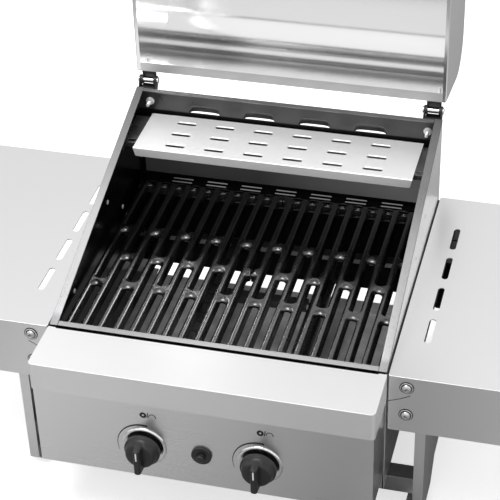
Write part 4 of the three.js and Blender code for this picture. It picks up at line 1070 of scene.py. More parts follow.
# The underside and the cut edges take the dull black: soot, and painted shade.
finish_piece("rack_sheet", bm, [rack_steel, rack_lip_lit_steel, rack_soot_and_shade],
             stands_for=["warming_rack"], thickness=SKIN, up=(0, 0, 1), sharp=40, under=2)

# %% [markdown]
# The back wall closes the firebox. Four louvres are pressed into it: the punch cuts the
# sheet along the lower line and pushes the rest out into a small hood, so hot air leaves
# and rain stays out. From inside, each louvre shows dark at the top and daylight at the
# bottom. A louvre is a grid that bulges from the wall's plane, and its upper and side
# rows share their corners with the hole in the flat wall.

# %% The back wall and its louvres
WALL_HALF = 213.2
BACK_INNER = 386.5
BODY_SHEET = 1.5
BACK_DROP = -173
REAR_RIM = 7.5
RIM_FOLD = 1.5
CORNER_FLANGE = 12
FLANGE_GAP = 2
RIM_HALF = 204.2
VENTS = 4
VENT_FALL = 33.1
VENT_LEVEL = rim_at(FIREBOX_DEPTH) - VENT_FALL
VENT_HEIGHT = 14
VENT_HALF = 22.3
VENT_PITCH = 78.3
VENT_BULGE = 6.4
VENT_CORNER = 8
BULGE_GROWTH = 1.6


def louvre(bm, centre):
    """A pressed hood as a grid, and the loop where it meets the flat wall."""
    rows, columns = 9, 16
    grid = []
    for j in range(rows + 1):
        v = j / rows
        drop = min(v * VENT_HEIGHT / VENT_CORNER, 1)
        half = VENT_HALF - VENT_CORNER * (1 - math.sqrt(1 - (1 - drop) ** 2))
        row = []
        for i in range(columns + 1):
            u = 2 * i / columns - 1
            bulge = VENT_BULGE * v ** BULGE_GROWTH * math.sqrt(max(1 - u ** 4, 0))
            row.append(bm.verts.new((centre + u * half, BACK_INNER + bulge,
                                     VENT_LEVEL + VENT_HEIGHT * (1 - v))))
        grid.append(row)
    bridge(bm, grid, closed=False)
    return grid[0] + [row[-1] for row in grid[1:]] + [row[0] for row in grid[:0:-1]]


bm = bmesh.new()
rim_top = rim_at(BACK_INNER) - BODY_SHEET
flange_top = rim_at(FIREBOX_DEPTH - CORNER_FLANGE) - FLANGE_GAP
outline = [(-WALL_HALF, BACK_DROP), (WALL_HALF, BACK_DROP), (WALL_HALF, flange_top),
           (RIM_HALF, flange_top), (RIM_HALF, rim_top - RIM_FOLD),
           (-RIM_HALF, rim_top - RIM_FOLD), (-RIM_HALF, flange_top), (-WALL_HALF, flange_top)]
loops = [[bm.verts.new((x, BACK_INNER, z)) for x, z in outline]]
loops += [louvre(bm, (i - (VENTS - 1) / 2) * VENT_PITCH) for i in range(VENTS)]
fill(bm, *loops)
rows = [[loops[0][5], loops[0][4]]]
for i in range(1, FOLD_STEPS + 1):
    a = (math.pi / 2 - RIM_ANGLE) * i / FOLD_STEPS
    y = BACK_INNER - RIM_FOLD * (1 - math.cos(a))
    z = rim_top - RIM_FOLD + RIM_FOLD * math.sin(a)
    rows.append([bm.verts.new((s * RIM_HALF, y, z)) for s in (-1, 1)])
run = REAR_RIM - BODY_SHEET - RIM_FOLD
rows.append([bm.verts.new((s * RIM_HALF, y - run, z - run * RIM_SLOPE)) for s in (-1, 1)])
bridge(bm, rows, closed=False, finish=1)
for side, low, high in ((-1, loops[0][0], loops[0][7]), (1, loops[0][1], loops[0][2])):
    ends = [bm.verts.new((side * WALL_HALF, BACK_INNER - CORNER_FLANGE + BODY_SHEET, v.co.z))
            for v in (low, high)]
    bm.faces.new((low, ends[0], ends[1], high))
finish_piece("back_wall", bm, [back_enamel, rear_rim_steel],
             stands_for=["firebox_back"], thickness=BODY_SHEET, up=(0, -1, 0), sharp=40)

# %% [markdown]
# The hood is rolled from one sheet: a flat back, a round crown and a front that sweeps
# down in a wide curve. It stands open here, so its inside faces the camera. The curve is
# worked out in the hood's own directions, forwards from the hinge and up, and then turned
# back a quarter. The two ends are flat plates with a rolled border.

# %% The hood's shell
HINGE_BACK = 399
HINGE_RISE = 131
HOOD_HALF = 217
HOOD_BACK_EDGE = 13
HOOD_EDGE_LIFT = 1
HOOD_GAP = 0.3
HOOD_FRONT_EDGE = (HINGE_BACK + 0.2) / math.cos(RIM_ANGLE)
HOOD_HEIGHT = 151
HOOD_CORNER = 45
HOOD_CROWN_END = 180
HOOD_FRONT_WALL = 31
HOOD_LEAN = math.radians(10)
HOOD_BACK_FLANGE = 13.5
HOOD_FRONT_FLANGE = 10
HOOD_SIDE_FLANGE = 5.5
CROWN_STEPS = 20
FRONT_STEPS = 44
PLATE_BORDER = ((0, SKIN), (0.15, 0.5), (0.6, 0.12), (1.3, 0))
PLATE_SHEET = SKIN * 0.9
PLATE_FLANGE_INSET = 2


def open_hood(x, forward, rise):
    """A point of the closed hood, carried to where it stands open."""
    return (x, HINGE_BACK + rise, HINGE_RISE + forward)


def hood_profile(inset):
    """The hood's section, forwards and up, seen from its end."""
    lean = HOOD_LEAN
    up = ((HOOD_HEIGHT - HOOD_CORNER - HOOD_CORNER * math.sin(lean) - HOOD_EDGE_LIFT)
          / math.cos(lean))
    centre = (HOOD_BACK_EDGE - up * math.sin(lean) + HOOD_CORNER * math.cos(lean),
              HOOD_EDGE_LIFT + up * math.cos(lean) + HOOD_CORNER * math.sin(lean))
    reach, rise = HOOD_FRONT_EDGE - HOOD_CROWN_END, HOOD_HEIGHT - HOOD_FRONT_WALL
    points = [(HOOD_BACK_EDGE + inset / math.cos(lean), HOOD_EDGE_LIFT + inset)]
    for i in range(CROWN_STEPS + 1):
        a = math.pi + lean - (math.pi / 2 + lean) * i / CROWN_STEPS
        points.append((centre[0] + (HOOD_CORNER - inset) * math.cos(a),
                       centre[1] + (HOOD_CORNER - inset) * math.sin(a)))
    for i in range(FRONT_STEPS + 1):
        a = math.pi / 2 * (1 - i / FRONT_STEPS)
        points.append((HOOD_CROWN_END + (reach - inset) * math.cos(a),
                       HOOD_FRONT_WALL + (rise - inset) * math.sin(a)))
    points.append((HOOD_FRONT_EDGE - inset, HOOD_EDGE_LIFT + inset))
    return points


bm = bmesh.new()
half = HOOD_HALF - SKIN - HOOD_GAP
flange_half = HOOD_HALF - HOOD_SIDE_FLANGE - HOOD_GAP
profile = hood_profile(0)
bridge(bm, [[bm.verts.new(open_hood(s * half, f, r)) for s in (-1, 1)] for f, r in profile],
       closed=False)
for start, inward in ((profile[0][0], HOOD_BACK_FLANGE), (profile[-1][0], -HOOD_FRONT_FLANGE)):
    strip = ((start, 0, half), (start + math.copysign(0.5, inward), 0.02, flange_half),
             (start + inward, 0.04, flange_half))
    bridge(bm, [[bm.verts.new(open_hood(s * h, f, HOOD_EDGE_LIFT + lift)) for s in (-1, 1)]
                for f, lift, h in strip], closed=False)
bmesh.ops.remove_doubles(bm, verts=bm.verts, dist=SAME_PLACE)
hood = finish_piece("hood_skin", bm, [hood_outer_shaded_steel, hood_steel],
                    body="hood", stands_for=["hood_shell"], thickness=SKIN, up=(0, 1, 0),
                    sharp=40, under=1)


def hood_plate(side, name):
    """An end plate whose border rolls over onto the shell."""
    bm = bmesh.new()
    outer = side * HOOD_HALF
    loops = []
    for inset, depth in PLATE_BORDER:
        loops.append([bm.verts.new(open_hood(outer - side * depth, f, r))
                      for f, r in hood_profile(inset)])
    bridge(bm, loops)
    fill(bm, loops[-1])
    level = HOOD_EDGE_LIFT + SKIN
    inner, lower = [[bm.verts.new(open_hood(outer - side * reach, f, z))
                     for f in (profile[0][0] + PLATE_FLANGE_INSET,
                               profile[-1][0] - PLATE_FLANGE_INSET)]
                    for reach, z in ((HOOD_SIDE_FLANGE, level + 0.02), (SKIN, level))]
    bm.faces.new((lower[0], lower[1], inner[1], inner[0]))
    return finish_piece(f"hood_cheek_{name}", bm, [hood_steel], body="hood",
                        stands_for=[f"hood_end_{name}"], thickness=PLATE_SHEET,
                        up=(side, 0, 0), sharp=40)


cheeks = [hood_plate(side, name) for side, name in SIDES]

# %% [markdown]
# Round parts are turned: a profile of radius and height goes once round an axis, which is
# how a lathe makes them. Enough steps keep the silhouette round in a close view. The same
# few lines make the handle, the knobs, the screws, the pins and the feet.

# %% A lathe


def lathe(bm, profile, base, direction, steps=40, finish=0):
    """Turns (radius, height) points about an axis from a base point, in the drawing's frame."""
    axis = Vector(direction).normalized()
    across = axis.orthogonal().normalized()
    other = axis.cross(across)
    base = Vector(base)
    rows = []
    for radius, height in profile:
        centre = base + axis * height
        if not radius:
            rows.append([bm.verts.new(centre)])
            continue
        rows.append([bm.verts.new(centre + radius * (across * math.cos(a) + other * math.sin(a)))
                     for a in full_turn(steps)])
    for near, far in zip(rows, rows[1:]):
        for i in range(steps):
            j = (i + 1) % steps
            corners = list(dict.fromkeys((near[i % len(near)], near[j % len(near)],
                                          far[j % len(far)], far[i % len(far)])))
            if len(corners) > 2:
                bm.faces.new(corners).material_index = finish


def rounded(radius, length, fillet, steps=4):
    """The profile of a plain round bar with rounded ends."""
    arc = [(radius - fillet + fillet * math.sin(a), fillet - fillet * math.cos(a))
           for a in quarter(steps)]
    return [(0, 0)] + arc + [(r, length - h) for r, h in reversed(arc)] + [(0, length)]


# %% [markdown]
# The handle is a stainless tube on two posts. Each post ends in a flared foot on the hood's
# front curve, so it is turned about the curve's own normal there.

# %% The handle
HANDLE_ANGLE = math.radians(24)
HANDLE_LENGTH = 300
HANDLE_RADIUS = 10
HANDLE_STANDOFF = 42
POST_SPACING = 236
POST_RADIUS = 7
POST_FOOT = 11

reach = HOOD_FRONT_EDGE - HOOD_CROWN_END
rise = HOOD_HEIGHT - HOOD_FRONT_WALL
seat = (HOOD_CROWN_END + reach * math.cos(HANDLE_ANGLE),
        HOOD_FRONT_WALL + rise * math.sin(HANDLE_ANGLE))
normal = Vector((0, reach * math.sin(HANDLE_ANGLE), rise * math.cos(HANDLE_ANGLE))).normalized()
bm = bmesh.new()
bar = Vector(open_hood(-HANDLE_LENGTH / 2, *seat)) + normal * HANDLE_STANDOFF
lathe(bm, rounded(HANDLE_RADIUS, HANDLE_LENGTH, 2.4), bar, (1, 0, 0), 48)
post = [(0, 0.3), (POST_FOOT, 0.3), (POST_FOOT, 2.2), (POST_FOOT - 0.5, 3.1),
        (POST_RADIUS + 1.6, 4.3), (POST_RADIUS + 0.4, 5.6), (POST_RADIUS, 7.6),
        (POST_RADIUS, HANDLE_STANDOFF - 8), (POST_RADIUS + 0.9, HANDLE_STANDOFF - 5),
        (0, HANDLE_STANDOFF)]
for side, _ in SIDES:
    lathe(bm, post, open_hood(side * POST_SPACING / 2, *seat), normal, 36)
handle = finish_piece("hood_grip", bm, [grip_steel], body="hood",
                      stands_for=["hood_handle"], sharp=50)

# %% [markdown]
# In a studio, flags keep a lamp's glare off one surface while it lights the rest. The same
# is done here: the overhead lamp leaves out the hood and its handle, which would mirror it
# as a white patch, and the low front lamp lights nothing but the hood.

# %% Flags on two lamps


def flag(lamp, pieces, state):
    """Lets a lamp light only some pieces, or all but some."""
    group = bpy.data.collections.new(lamp.name + "_flag")
    lamp.light_linking.receiver_collection = group
    for piece in pieces:
        group.objects.link(piece)
    for member in group.collection_objects:
        member.light_linking.link_state = state


flag(overhead, [hood, handle] + cheeks, "EXCLUDE")
flag(ridge, [hood], "INCLUDE")
print("lamps flagged")

# %% [markdown]
# The knobs are moulded: a wide skirt, a domed face and one bar to grip, with a white line
# that points at the setting. Behind each is a plated bezel. The knob rides on its own body,
# so it turns and is pushed by its joints, while the bezel stays with the grill.

# %% Knobs and bezels
BURNER_X = 74
BURNER_DROP = -110
PANEL_FACE = -74
BEZEL_HEIGHT = 2
BEZEL_GAP = 0.3
KNOB_TRAVEL = 3
KNOB_GAP = 0.6
KNOB_BACK = PANEL_FACE - BEZEL_HEIGHT - BEZEL_GAP - KNOB_TRAVEL - KNOB_GAP
KNOB_RADIUS = 23
KNOB_LENGTH = 28
KNOB_FACE = 16
KNOB_SKIRT = 6

white_mark = small_finish("white_mark", (0.8, 0.8, 0.8), 0, 0.5, 400, 0.01)
# One dark finish serves for printed ink and for painted shade.
painted_shade_and_ink = small_finish("painted_shade_and_ink", (0.01, 0.01, 0.01), 0, 0.7, 300, 0.01)


def knob(side, name):
    bm = bmesh.new()
    base = (side * BURNER_X, KNOB_BACK, BURNER_DROP)
    profile = [(0, 0), (KNOB_RADIUS - 1, 0), (KNOB_RADIUS, 1), (KNOB_RADIUS, KNOB_SKIRT - 1.2),
               (KNOB_RADIUS - 0.5, KNOB_SKIRT - 0.3), (KNOB_RADIUS - 1.6, KNOB_SKIRT + 0.2),
               (KNOB_RADIUS - 2.6, KNOB_SKIRT + 1.2), (KNOB_RADIUS - 4, KNOB_FACE - 3.4),
               (KNOB_RADIUS - 4.8, KNOB_FACE - 1.6), (KNOB_RADIUS - 6.4, KNOB_FACE - 0.5),
               (KNOB_RADIUS - 9, KNOB_FACE), (0, KNOB_FACE + 0.4)]
    lathe(bm, profile, base, (0, -1, 0), 56)
    reach = KNOB_RADIUS - 3.2
    rows = []
    for level, width, length in ((KNOB_FACE - 8, 5.2, 0), (KNOB_FACE + 2, 4.5, 0),
                                 (KNOB_LENGTH - 1.6, 4, 0.4), (KNOB_LENGTH - 0.5, 3.4, 1),
                                 (KNOB_LENGTH, 2.4, 2)):
        row = []
        span = reach - length
        for i in range(9):
            a = math.pi * i / 8
            row.append((width * math.cos(a), span - width * 0.45 + width * 0.45 * math.sin(a)))
        row += [(-x, -z) for x, z in row]
        rows.append([bm.verts.new((base[0] + x, KNOB_BACK - level, BURNER_DROP + z))
                     for x, z in row])
    bridge(bm, rows)
    bm.faces.new(rows[-1])
    bm.faces.new(rows[0][::-1])
    top = KNOB_BACK - KNOB_LENGTH - 0.05
    line = [bm.verts.new((base[0] + x, top, BURNER_DROP + z)) for x, z in
            ((-0.9, 4), (0.9, 4), (0.9, reach - 3), (-0.9, reach - 3))]
    bm.faces.new(line).material_index = 1
    finish_piece(f"moulded_knob_{name}", bm, [knob_plastic, white_mark],
                 body=f"knob_{name}", stands_for=[f"knob_{name}"], sharp=45)


def bezel(side, name):
    bm = bmesh.new()
    profile = [(11, 0), (29, 0), (28.8, 0.7), (28, 1.5), (26.6, 2), (24.6, 1.9), (23.8, 1.4),
               (12.2, 1.3), (11, 1.1), (11, 0)]
    lathe(bm, profile, (side * BURNER_X, PANEL_FACE - BEZEL_GAP, BURNER_DROP), (0, -1, 0), 64)
    finish_piece(f"plated_bezel_{name}", bm, [bright_steel],
                 stands_for=[f"knob_bezel_{name}"], sharp=50)


for draw in (knob, bezel):
    for side, name in SIDES:
        draw(side, name)

# %% [markdown]
# A pan-head screw is a low dome with a cross recess, over a plated washer. It is small, but
# its dark recess and the ring of shadow under the washer are what the eye reads as a
# screw. That ring, and the groove under the head, are painted shade in a dark finish. The
# recess is a real cross-shaped pit: the ring round the top of the dome is joined to a star
# outline, and the star is pushed in.

# %% Screws on the fascias
SCREW_HEAD = (5.6, 3.2)
WASHER = (8.1, 1.3)
SCREW_IN = 22.75
SCREW_LEVELS = (("upper", -15.6), ("lower", -57.9))
HEAD_STEPS = 40
RECESS = 0.55


def recessed_head(bm, seat, direction, head, height, washer, washer_height):
    """A washer and a domed head with a cross recess, standing out along a direction."""
    axis = Vector(direction).normalized()
    across = Vector((1, 0, 0)) if abs(axis.x) < 0.9 else Vector((0, 0, 1))
    other = axis.cross(across)
    base = Vector(seat)
    groove = washer_height - 0.5
    # The ring under the washer and the groove under the head are painted shade, in the second
    # finish.
    lathe(bm, [(0, 0), (washer + 0.9, 0), (washer + 0.9, 0.4), (washer - 0.1, 0.45)], seat, axis,
          HEAD_STEPS, finish=1)
    lathe(bm, [(washer - 0.1, 0.45), (washer, 0.6), (washer, washer_height - 0.3),
               (washer - 0.35, washer_height), (head + 1.1, washer_height)], seat, axis,
          HEAD_STEPS)
    lathe(bm, [(head + 1.1, washer_height), (head + 1, groove), (head * 0.9, groove)],
          seat, axis, HEAD_STEPS, finish=1)
    profile = [(head * 0.93, groove), (head, washer_height + 0.35)]
    profile += [(head * math.cos(a), washer_height + 0.6 + (height - 0.6) * math.sin(a))
                for a in (math.radians(d) for d in (18, 36, 50, 62))]
    rows = []
    for radius, level in profile:
        rows.append([bm.verts.new(base + axis * level
                                  + radius * (across * math.cos(t) + other * math.sin(t)))
                     for t in full_turn(HEAD_STEPS)])
    bridge(bm, rows)
    long, short = head * 0.5, head * 0.16
    level = washer_height + height
    star = []
    for a in full_turn(4):
        for x, z in ((long, short), (short, short)):
            star.append((x * math.cos(a) - z * math.sin(a), x * math.sin(a) + z * math.cos(a)))
        b = a + math.pi / 2
        star.append((long * math.cos(b) + short * math.sin(b),
                     long * math.sin(b) - short * math.cos(b)))

    def ring(level, scale):
        return [bm.verts.new(base + axis * level + scale * (across * x + other * z))
                for x, z in star]

    mouth, pit = ring(level - 0.05, 1), ring(level - head * RECESS, 0.55)
    fill(bm, rows[-1], mouth)
    bridge(bm, [mouth, pit])
    fill(bm, pit)


for side, name in SIDES:
    for level, drop in SCREW_LEVELS:
        bm = bmesh.new()
        x = side * (SHELF_INNER + SCREW_IN)
        recessed_head(bm, (x, SHELF_FRONT - 0.05, drop), (0, -1, 0), *SCREW_HEAD, *WASHER)
        lathe(bm, rounded(2.9, 14, 0.5), (x, SHELF_FRONT, drop), (0, 1, 0), 20)
        finish_piece(f"fascia_screw_{level}_{name}", bm, [screw_plate, painted_shade_and_ink],
                     stands_for=[f"shelf_screw_{level}_{name}"], sharp=35)

# %% [markdown]
# A plated bolt holds each hinge to the back wall. Inside the firebox its nut, washer and
# threaded end show. The nut is a hexagon whose corners are turned off at both ends, and the
# thread is a row of fine grooves, which at this size looks the same as a helix.

# %% Hinge bolts, hood bolts and pins
HINGE_X = 200.5
HINGE_BOLT_X = HINGE_X - 4.5
HINGE_BOLT_DROP = 26
HOOD_BOLT_X = HINGE_X + 4.5
HOOD_BOLT_UP = 14
HINGE_MOUNT_BACK = 390.6
NUT = (4.6, 3.5)
NUT_STEPS = 24
THREAD_RADIUS = 2.5
THREAD_LENGTH = 14
SHANK_RADIUS = 2.4
PIN_HALF = 12.8
PIN_HEAD = 1.8


def hex_nut(bm, seat, direction, corner_radius, height):
    axis = Vector(direction).normalized()
    side_way = Vector((0, 0, 1)) if abs(axis.z) < 0.9 else Vector((0, 1, 0))
    side_way = (side_way - axis * side_way.dot(axis)).normalized()
    other = axis.cross(side_way)
    rows = []
    for level, scale in ((0, 0.9), (height * 0.12, 1), (height * 0.88, 1), (height, 0.9)):
        row = []
        for a in full_turn(NUT_STEPS):
            to_flat = math.cos(math.pi / 6) / math.cos((a + math.pi / 6) % (math.pi / 3)
                                                       - math.pi / 6)
            radius = corner_radius * min(to_flat, scale)
            row.append(bm.verts.new(Vector(seat) + axis * level
                                    + radius * (side_way * math.cos(a) + other * math.sin(a))))
        rows.append(row)
    bridge(bm, rows)
    bm.faces.new(rows[0][::-1])
    bm.faces.new(rows[-1])


def thread(radius, end, pitch=0.8):
    """The profile of a threaded end with a chamfered tip."""
    points = [(0, 0), (radius * 0.86, 0)]
    level = 0
    while level + pitch < end - 0.6:
        points += [(radius, level + pitch * 0.5), (radius * 0.86, level + pitch)]
        level += pitch
    return points + [(radius * 0.8, end - 0.2), (radius * 0.6, end), (0, end)]


def on_hood_back(x, up, out):
    """A place on the hood's leaning back, up from its edge and out from its face."""
    return open_hood(x, HOOD_BACK_EDGE - up * math.sin(HOOD_LEAN) - out * math.cos(HOOD_LEAN),
                     HOOD_EDGE_LIFT + up * math.cos(HOOD_LEAN) - out * math.sin(HOOD_LEAN))


for side, name in SIDES:
    inwards, outwards = (0, -1, 0), (0, 1, 0)
    x, level = side * HINGE_BOLT_X, HINGE_RISE - HINGE_BOLT_DROP
    wall = BACK_INNER - 0.3
    bm = bmesh.new()
    lathe(bm, [(0, 0), (5.8, 0), (6, 0.2), (6, 0.8), (5.8, 1), (0, 1)], (x, wall, level),
          inwards, 32)
    hex_nut(bm, (x, wall - 1, level), inwards, *NUT)
    lathe(bm, thread(THREAD_RADIUS, THREAD_LENGTH), (x, wall, level), inwards, 28)
    lathe(bm, rounded(4.5, 3.3, 1.1), (x, HINGE_MOUNT_BACK, level), outwards, 32)
    lathe(bm, rounded(SHANK_RADIUS, 5, 0.3), (x, BACK_INNER, level), outwards, 20)
    finish_piece(f"hinge_fixing_{name}", bm, [zinc_plate],
                 stands_for=[f"hinge_bolt_{name}"], sharp=35)

    bm = bmesh.new()
    run = 2 * (PIN_HALF + PIN_HEAD)
    start = side * HINGE_X - PIN_HALF - PIN_HEAD
    lathe(bm, [(0, 0), (3.6, 0), (4.3, 0.4), (4.6, 1), (4.5, PIN_HEAD), (2.9, PIN_HEAD),
               (2.9, run - PIN_HEAD), (4.5, run - PIN_HEAD), (4.6, run - 1), (4.3, run - 0.4),
               (3.6, run), (0, run)], (start, HINGE_BACK, HINGE_RISE), (1, 0, 0), 36)
    finish_piece(f"pivot_pin_{name}", bm, [bright_steel],
                 stands_for=[f"hinge_pin_{name}"], sharp=40)

    bm = bmesh.new()
    x = side * HOOD_BOLT_X
    outwards = (Vector(on_hood_back(x, HOOD_BOLT_UP, 1))
                - Vector(on_hood_back(x, HOOD_BOLT_UP, 0)))
    seat = on_hood_back(x, HOOD_BOLT_UP, -1.5)
    lathe(bm, rounded(4.5, 3.2, 1), on_hood_back(x, HOOD_BOLT_UP, 2.6), outwards, 32)
    lathe(bm, rounded(SHANK_RADIUS, 6, 0.2), on_hood_back(x, HOOD_BOLT_UP, -2), outwards, 20)
    hex_nut(bm, seat, -outwards, *NUT)
    lathe(bm, thread(THREAD_RADIUS, THREAD_LENGTH), seat, -outwards, 28)
    finish_piece(f"hood_fixing_{name}", bm, [zinc_plate], body="hood",
                 stands_for=[f"hood_bolt_{name}"], sharp=35)

# %% [markdown]
# The burners are steel tubes with a row of saw-cut ports. The tube is a grid round an
# axis, and where a port is, its faces are simply left out, so Solidify shows the real
# edge of the cut. The closed end is a shallow dome with a flat tail that lies on the
# ledge of the back wall.

# %% The burners
BURNER_RADIUS = 12.4
BURNER_BACK = 318
PORTS = 12
PORT_FIRST = 60
PORT_LAST = BURNER_BACK - 27
PORT_PITCH = (PORT_LAST - PORT_FIRST) / (PORTS - 1)
PORT_CUT = 2
PORT_REACH = 4
TUBE_STEPS = 36
TAIL_BACK = 380.5
TAIL_HALF_WIDTH = 6
TAIL_HALF_SHEET = 1.5


def burner(side, name):
    bm = bmesh.new()
    stops = [(-16, 11.6), (-15, BURNER_RADIUS), (30, BURNER_RADIUS)]
    ports = []
    for i in range(PORTS):
        ports.append(PORT_FIRST + i * PORT_PITCH)
        stops += [(ports[-1], BURNER_RADIUS), (ports[-1] + PORT_CUT, BURNER_RADIUS)]
    stops += [(BURNER_BACK - 3, BURNER_RADIUS), (BURNER_BACK - 1.2, BURNER_RADIUS - 0.8),
              (BURNER_BACK - 0.3, BURNER_RADIUS - 3), (BURNER_BACK, 0.01)]
    rows = []
    for y, r in stops:
        rows.append([bm.verts.new((side * BURNER_X + r * math.sin(a), y,
                                   BURNER_DROP + r * math.cos(a)))
                     for a in full_turn(TUBE_STEPS)])
    for (near, far), (y, _) in zip(zip(rows, rows[1:]), stops):
        for i in range(TUBE_STEPS):
            j = (i + 1) % TUBE_STEPS
            if y in ports and (i < PORT_REACH or i >= TUBE_STEPS - PORT_REACH):
                continue
            bm.faces.new((near[i], near[j], far[j], far[i]))
    finish_piece(f"burner_tube_{name}", bm, [burner_iron],
                 stands_for=[f"burner_{name}"], thickness=1.2, sharp=50)

    bm = bmesh.new()
    x, wide, narrow = side * BURNER_X, TAIL_HALF_WIDTH, TAIL_HALF_WIDTH - 2
    corners = [(x - wide, BURNER_BACK - 1), (x + wide, BURNER_BACK - 1),
               (x + wide, TAIL_BACK - 3), (x + narrow, TAIL_BACK), (x - narrow, TAIL_BACK),
               (x - wide, TAIL_BACK - 3)]
    top, low = [[bm.verts.new((a, b, BURNER_DROP + rise)) for a, b in corners]
                for rise in (TAIL_HALF_SHEET, -TAIL_HALF_SHEET)]
    bm.faces.new(top)
    bm.faces.new(low[::-1])
    for i in range(len(top)):
        j = (i + 1) % len(top)
        bm.faces.new((top[i], low[i], low[j], top[j]))
    bmesh.ops.bevel(bm, geom=bm.edges[:], offset=0.4, segments=2, affect="EDGES")
    finish_piece(f"burner_tail_{name}", bm, [burner_iron], sharp=50)


for side, name in SIDES:
    burner(side, name)

# %% [markdown]
# Four rubber feet keep the legs off the table. Each is turned, with a narrow waist at the
# top where it is pressed into the leg.

# %% Rubber feet
FOOT_X = 252.5
FOOT_BASE = -240
FEET = (("front", 24.6), ("rear", 359.3))
for side, name in SIDES:
    for end, y in FEET:
        bm = bmesh.new()
        lathe(bm, [(0, 0), (9, 0), (10.2, 0.5), (10.9, 1.6), (11, 3), (11, 6.6), (10.6, 7.6),
                   (9.6, 8), (0, 8)], (side * FOOT_X, y, FOOT_BASE), (0, 0, 1), 36)
        finish_piece(f"rubber_foot_{end}_{name}", bm, [foot_rubber],
                     stands_for=[f"foot_{end}_{name}"], sharp=50)

# %% [markdown]
# Small marks of the press and the welder make the walls read as sheet metal: rivet heads on
# the firebox sides, and the black cradle that each hinge leaf drops into. Other small pieces
# are painted shade: a dark film for the relief cut at the inner end of each fascia, a black
# sheet with a thin dark line above it on the base's rear tab, where the rear heat slots look
# down, a black rib under each shelf that shows as a dark line along the heat slots, and a
# black strip laid in the slit between shelf and firebox.

# %% Rivets, relief cuts, shades, ribs, strips and cradles
INNER_FACE = 213.4
INNER_RIVET = ((3.4, 0), (3.2, 0.5), (2.2, 1), (0, 1.25))
INNER_RIVETS = ((87, -11), (233, 32), (289, -12))
OUTER_FACE = 215.05
OUTER_RIVET = ((2.6, 0), (2.4, 0.4), (1.6, 0.8), (0, 1))
OUTER_RIVETS = ((262, 52), (196, 31))
SHADE_FRONT = 384.2
SHADE_SPAN = (217.6, 263)
SHADES = ((-190, -108, 3), (-68, -66.8, 0.3))
SLIT_SPAN = (215.2, 217.1)
SLIT_LEVEL = -2.4
CRADLE = ((388.5, 124.5), (392, 122), (396, 121), (400, 121), (404, 122.5))
CRADLE_HALF = 10.3
RIB_X = 242.2
RIB_HEIGHT = 41
RELIEF_CUT = ((217.6, -39.4), (224, -37.4), (233, -33.6), (244.6, -27.4))
RELIEF_HALF = 0.55

for side, name in SIDES:
    bm = bmesh.new()
    for y, z in INNER_RIVETS:
        lathe(bm, INNER_RIVET, (side * INNER_FACE, y, z), (-side, 0, 0), 20)
    for y, z in OUTER_RIVETS:
        lathe(bm, OUTER_RIVET, (side * OUTER_FACE, y, z), (side, 0, 0), 20)
    finish_piece(f"wall_rivets_{name}", bm, [zinc_plate], sharp=60)

    # Painted shade: a black sheet, with a thin dark line above it, on the base's rear tab.
    bm = bmesh.new()
    low, high = sorted(side * x for x in SHADE_SPAN)
    for foot, top, corner in SHADES:
        plate = rounded_box((low, foot), (high, top), corner)
        fill(bm, [bm.verts.new((x, SHADE_FRONT, z)) for x, z in plate(0)])
    finish_piece(f"rear_shade_{name}", bm, [painted_shade_and_ink], thickness=0.7, offset=0)

    # Painted shade: a black rib under the shelf that shows as a dark line along the heat slots.
    bm = bmesh.new()
    rib = [(SHELF_FRONT + 64, -1.3), (SHELF_BACK - 8, -1.3), (SHELF_BACK - 8, -RIB_HEIGHT + 6),
           (SHELF_BACK - 14, -RIB_HEIGHT), (SHELF_FRONT + 70, -RIB_HEIGHT),
           (SHELF_FRONT + 64, -RIB_HEIGHT + 6)]
    bm.faces.new([bm.verts.new((side * RIB_X, y, z)) for y, z in rib])
    finish_piece(f"shelf_rib_{name}", bm, [hinge_black], thickness=1, offset=0)

    # Painted shade: a black strip laid in the slit between shelf and firebox.
    bm = bmesh.new()
    low, high = sorted(side * x for x in SLIT_SPAN)
    strip = rounded_box((low, 2), (high, 384), 0.4)
    fill(bm, [bm.verts.new((x, y, SLIT_LEVEL)) for x, y in strip(0)])
    finish_piece(f"slit_strip_{name}", bm, [foot_rubber], thickness=3, up=(0, 0, 1))

    bm = bmesh.new()
    bridge(bm, [[bm.verts.new((side * HINGE_X + half, y, z))
                 for half in (-CRADLE_HALF, CRADLE_HALF)] for y, z in CRADLE], closed=False)
    finish_piece(f"hinge_cradle_{name}", bm, [hinge_black], thickness=1.2,
                 up=(0, 0, 1))

    # Painted shade: a dark film where the relief cut is.
    bm = bmesh.new()
    bridge(bm, [[bm.verts.new((side * x, SHELF_FRONT - 0.02, z + rise)) for x, z in RELIEF_CUT]
                for rise in (RELIEF_HALF, -RELIEF_HALF)], closed=False)
    finish_piece(f"relief_cut_{name}", bm, [painted_shade_and_ink], thickness=0.1,
                 up=(0, -1, 0))

# %% [markdown]
# Below the baffle a narrow black ledge bridges the space to the back wall. It has seven
# vent slots, and along the two long sides of each runs a pressed bead. A bead is a small
# prism whose front is sloped, because only a face at that slant mirrors the room through
# the gap under the rack. It is the double line of light that the eye finds there.

# %% The vented ledge and its beads
LEDGE_TOP = -16
LEDGE_FRONT = 368.5
LEDGE_BACK = 385.6
LEDGE_HALF = 208
LEDGE_SLOTS = 7
LEDGE_PITCH = 50.5
LEDGE_SLOT_MIDDLE = 375.8
LEDGE_SLOT_SIZE = (34, 5)
BEAD = ((0, 0), (0.75, 1.3), (1.1, 1.3), (1.3, 0))
BEAD_STARTS = (-4.9, 3.4)
BEAD_HALF = 15
BEAD_TAPER = 0.6

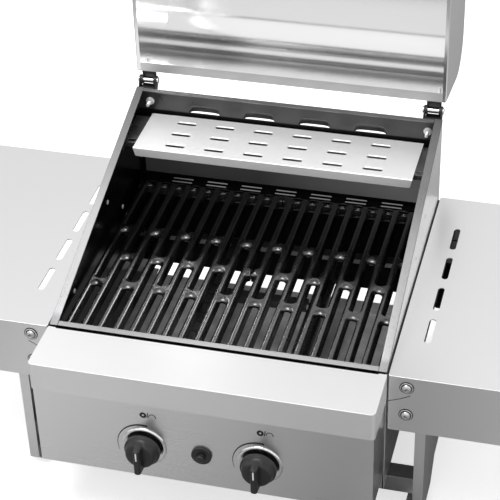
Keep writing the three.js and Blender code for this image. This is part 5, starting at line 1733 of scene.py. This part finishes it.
bm = bmesh.new()
edge = rounded_box((-LEDGE_HALF, LEDGE_FRONT), (LEDGE_HALF, LEDGE_BACK), 2)
loops = [[bm.verts.new((x, y, LEDGE_TOP)) for x, y in edge(0)]]
columns = [(i - (LEDGE_SLOTS - 1) / 2) * LEDGE_PITCH for i in range(LEDGE_SLOTS)]
for x in columns:
    slot = slot_outline((x, LEDGE_SLOT_MIDDLE), *LEDGE_SLOT_SIZE)
    loops.append([bm.verts.new((u, v, LEDGE_TOP)) for u, v in slot(0)])
fill(bm, *loops)
finish_piece("vented_ledge", bm, [back_enamel], thickness=0.8, up=(0, 0, 1))

bm = bmesh.new()
for x in columns:
    for start in BEAD_STARTS:
        ends = [[bm.verts.new((x + end * (BEAD_HALF - (BEAD_TAPER if rise else 0)),
                               LEDGE_SLOT_MIDDLE + start + run, LEDGE_TOP + 0.02 + rise))
                 for run, rise in BEAD] for end in (-1, 1)]
        bridge(bm, ends)
        bm.faces.new(ends[0][::-1])
        bm.faces.new(ends[1])
finish_piece("ledge_beads", bm, [bead_steel], sharp=50)

# %% [markdown]
# The panel is printed, not engraved. Above each knob stand three small black marks, and
# round its bezel a wedge grows from low to high, as on any dial. Ink is a thin film, so
# each mark is a flat outline a tenth of a millimetre thick on the panel's face.

# %% Printed dial marks
INK = 0.12
INK_FACE = PANEL_FACE - 0.02
SLASH = ((5.8, -63), (7, -63), (8.4, -54.8), (7.2, -54.8))
WEDGE_RADIUS = 35


def ink_ring(bm, x, z, outer, inner, start=0, end=360, steps=32):
    """A flat ring, or a part of one between two angles."""
    rows = []
    for i in range(steps + 1):
        a = math.radians(start + (end - start) * i / steps)
        if end - start == 360 and i == steps:
            rows.append(rows[0])
            continue
        rows.append([bm.verts.new((x + r * math.cos(a), INK_FACE, z + r * math.sin(a)))
                     for r in (inner(i / steps) if callable(inner) else inner, outer)])
    bridge(bm, rows, closed=False)


for side, name in SIDES:
    bm = bmesh.new()
    x = side * BURNER_X
    ink_ring(bm, x + 1.4, -59.4, 4.4, 1.5)
    bm.faces.new([bm.verts.new((x + u, INK_FACE, z)) for u, z in SLASH])
    ink_ring(bm, x + 13, -61.2, 4.9, 3.9, -10, 190)
    ink_ring(bm, x, BURNER_DROP, WEDGE_RADIUS, lambda share: WEDGE_RADIUS - 0.4 - 2.4 * share,
             200, 80, 40)
    finish_piece(f"dial_marks_{name}", bm, [painted_shade_and_ink], thickness=INK,
                 up=(0, -1, 0), offset=1)
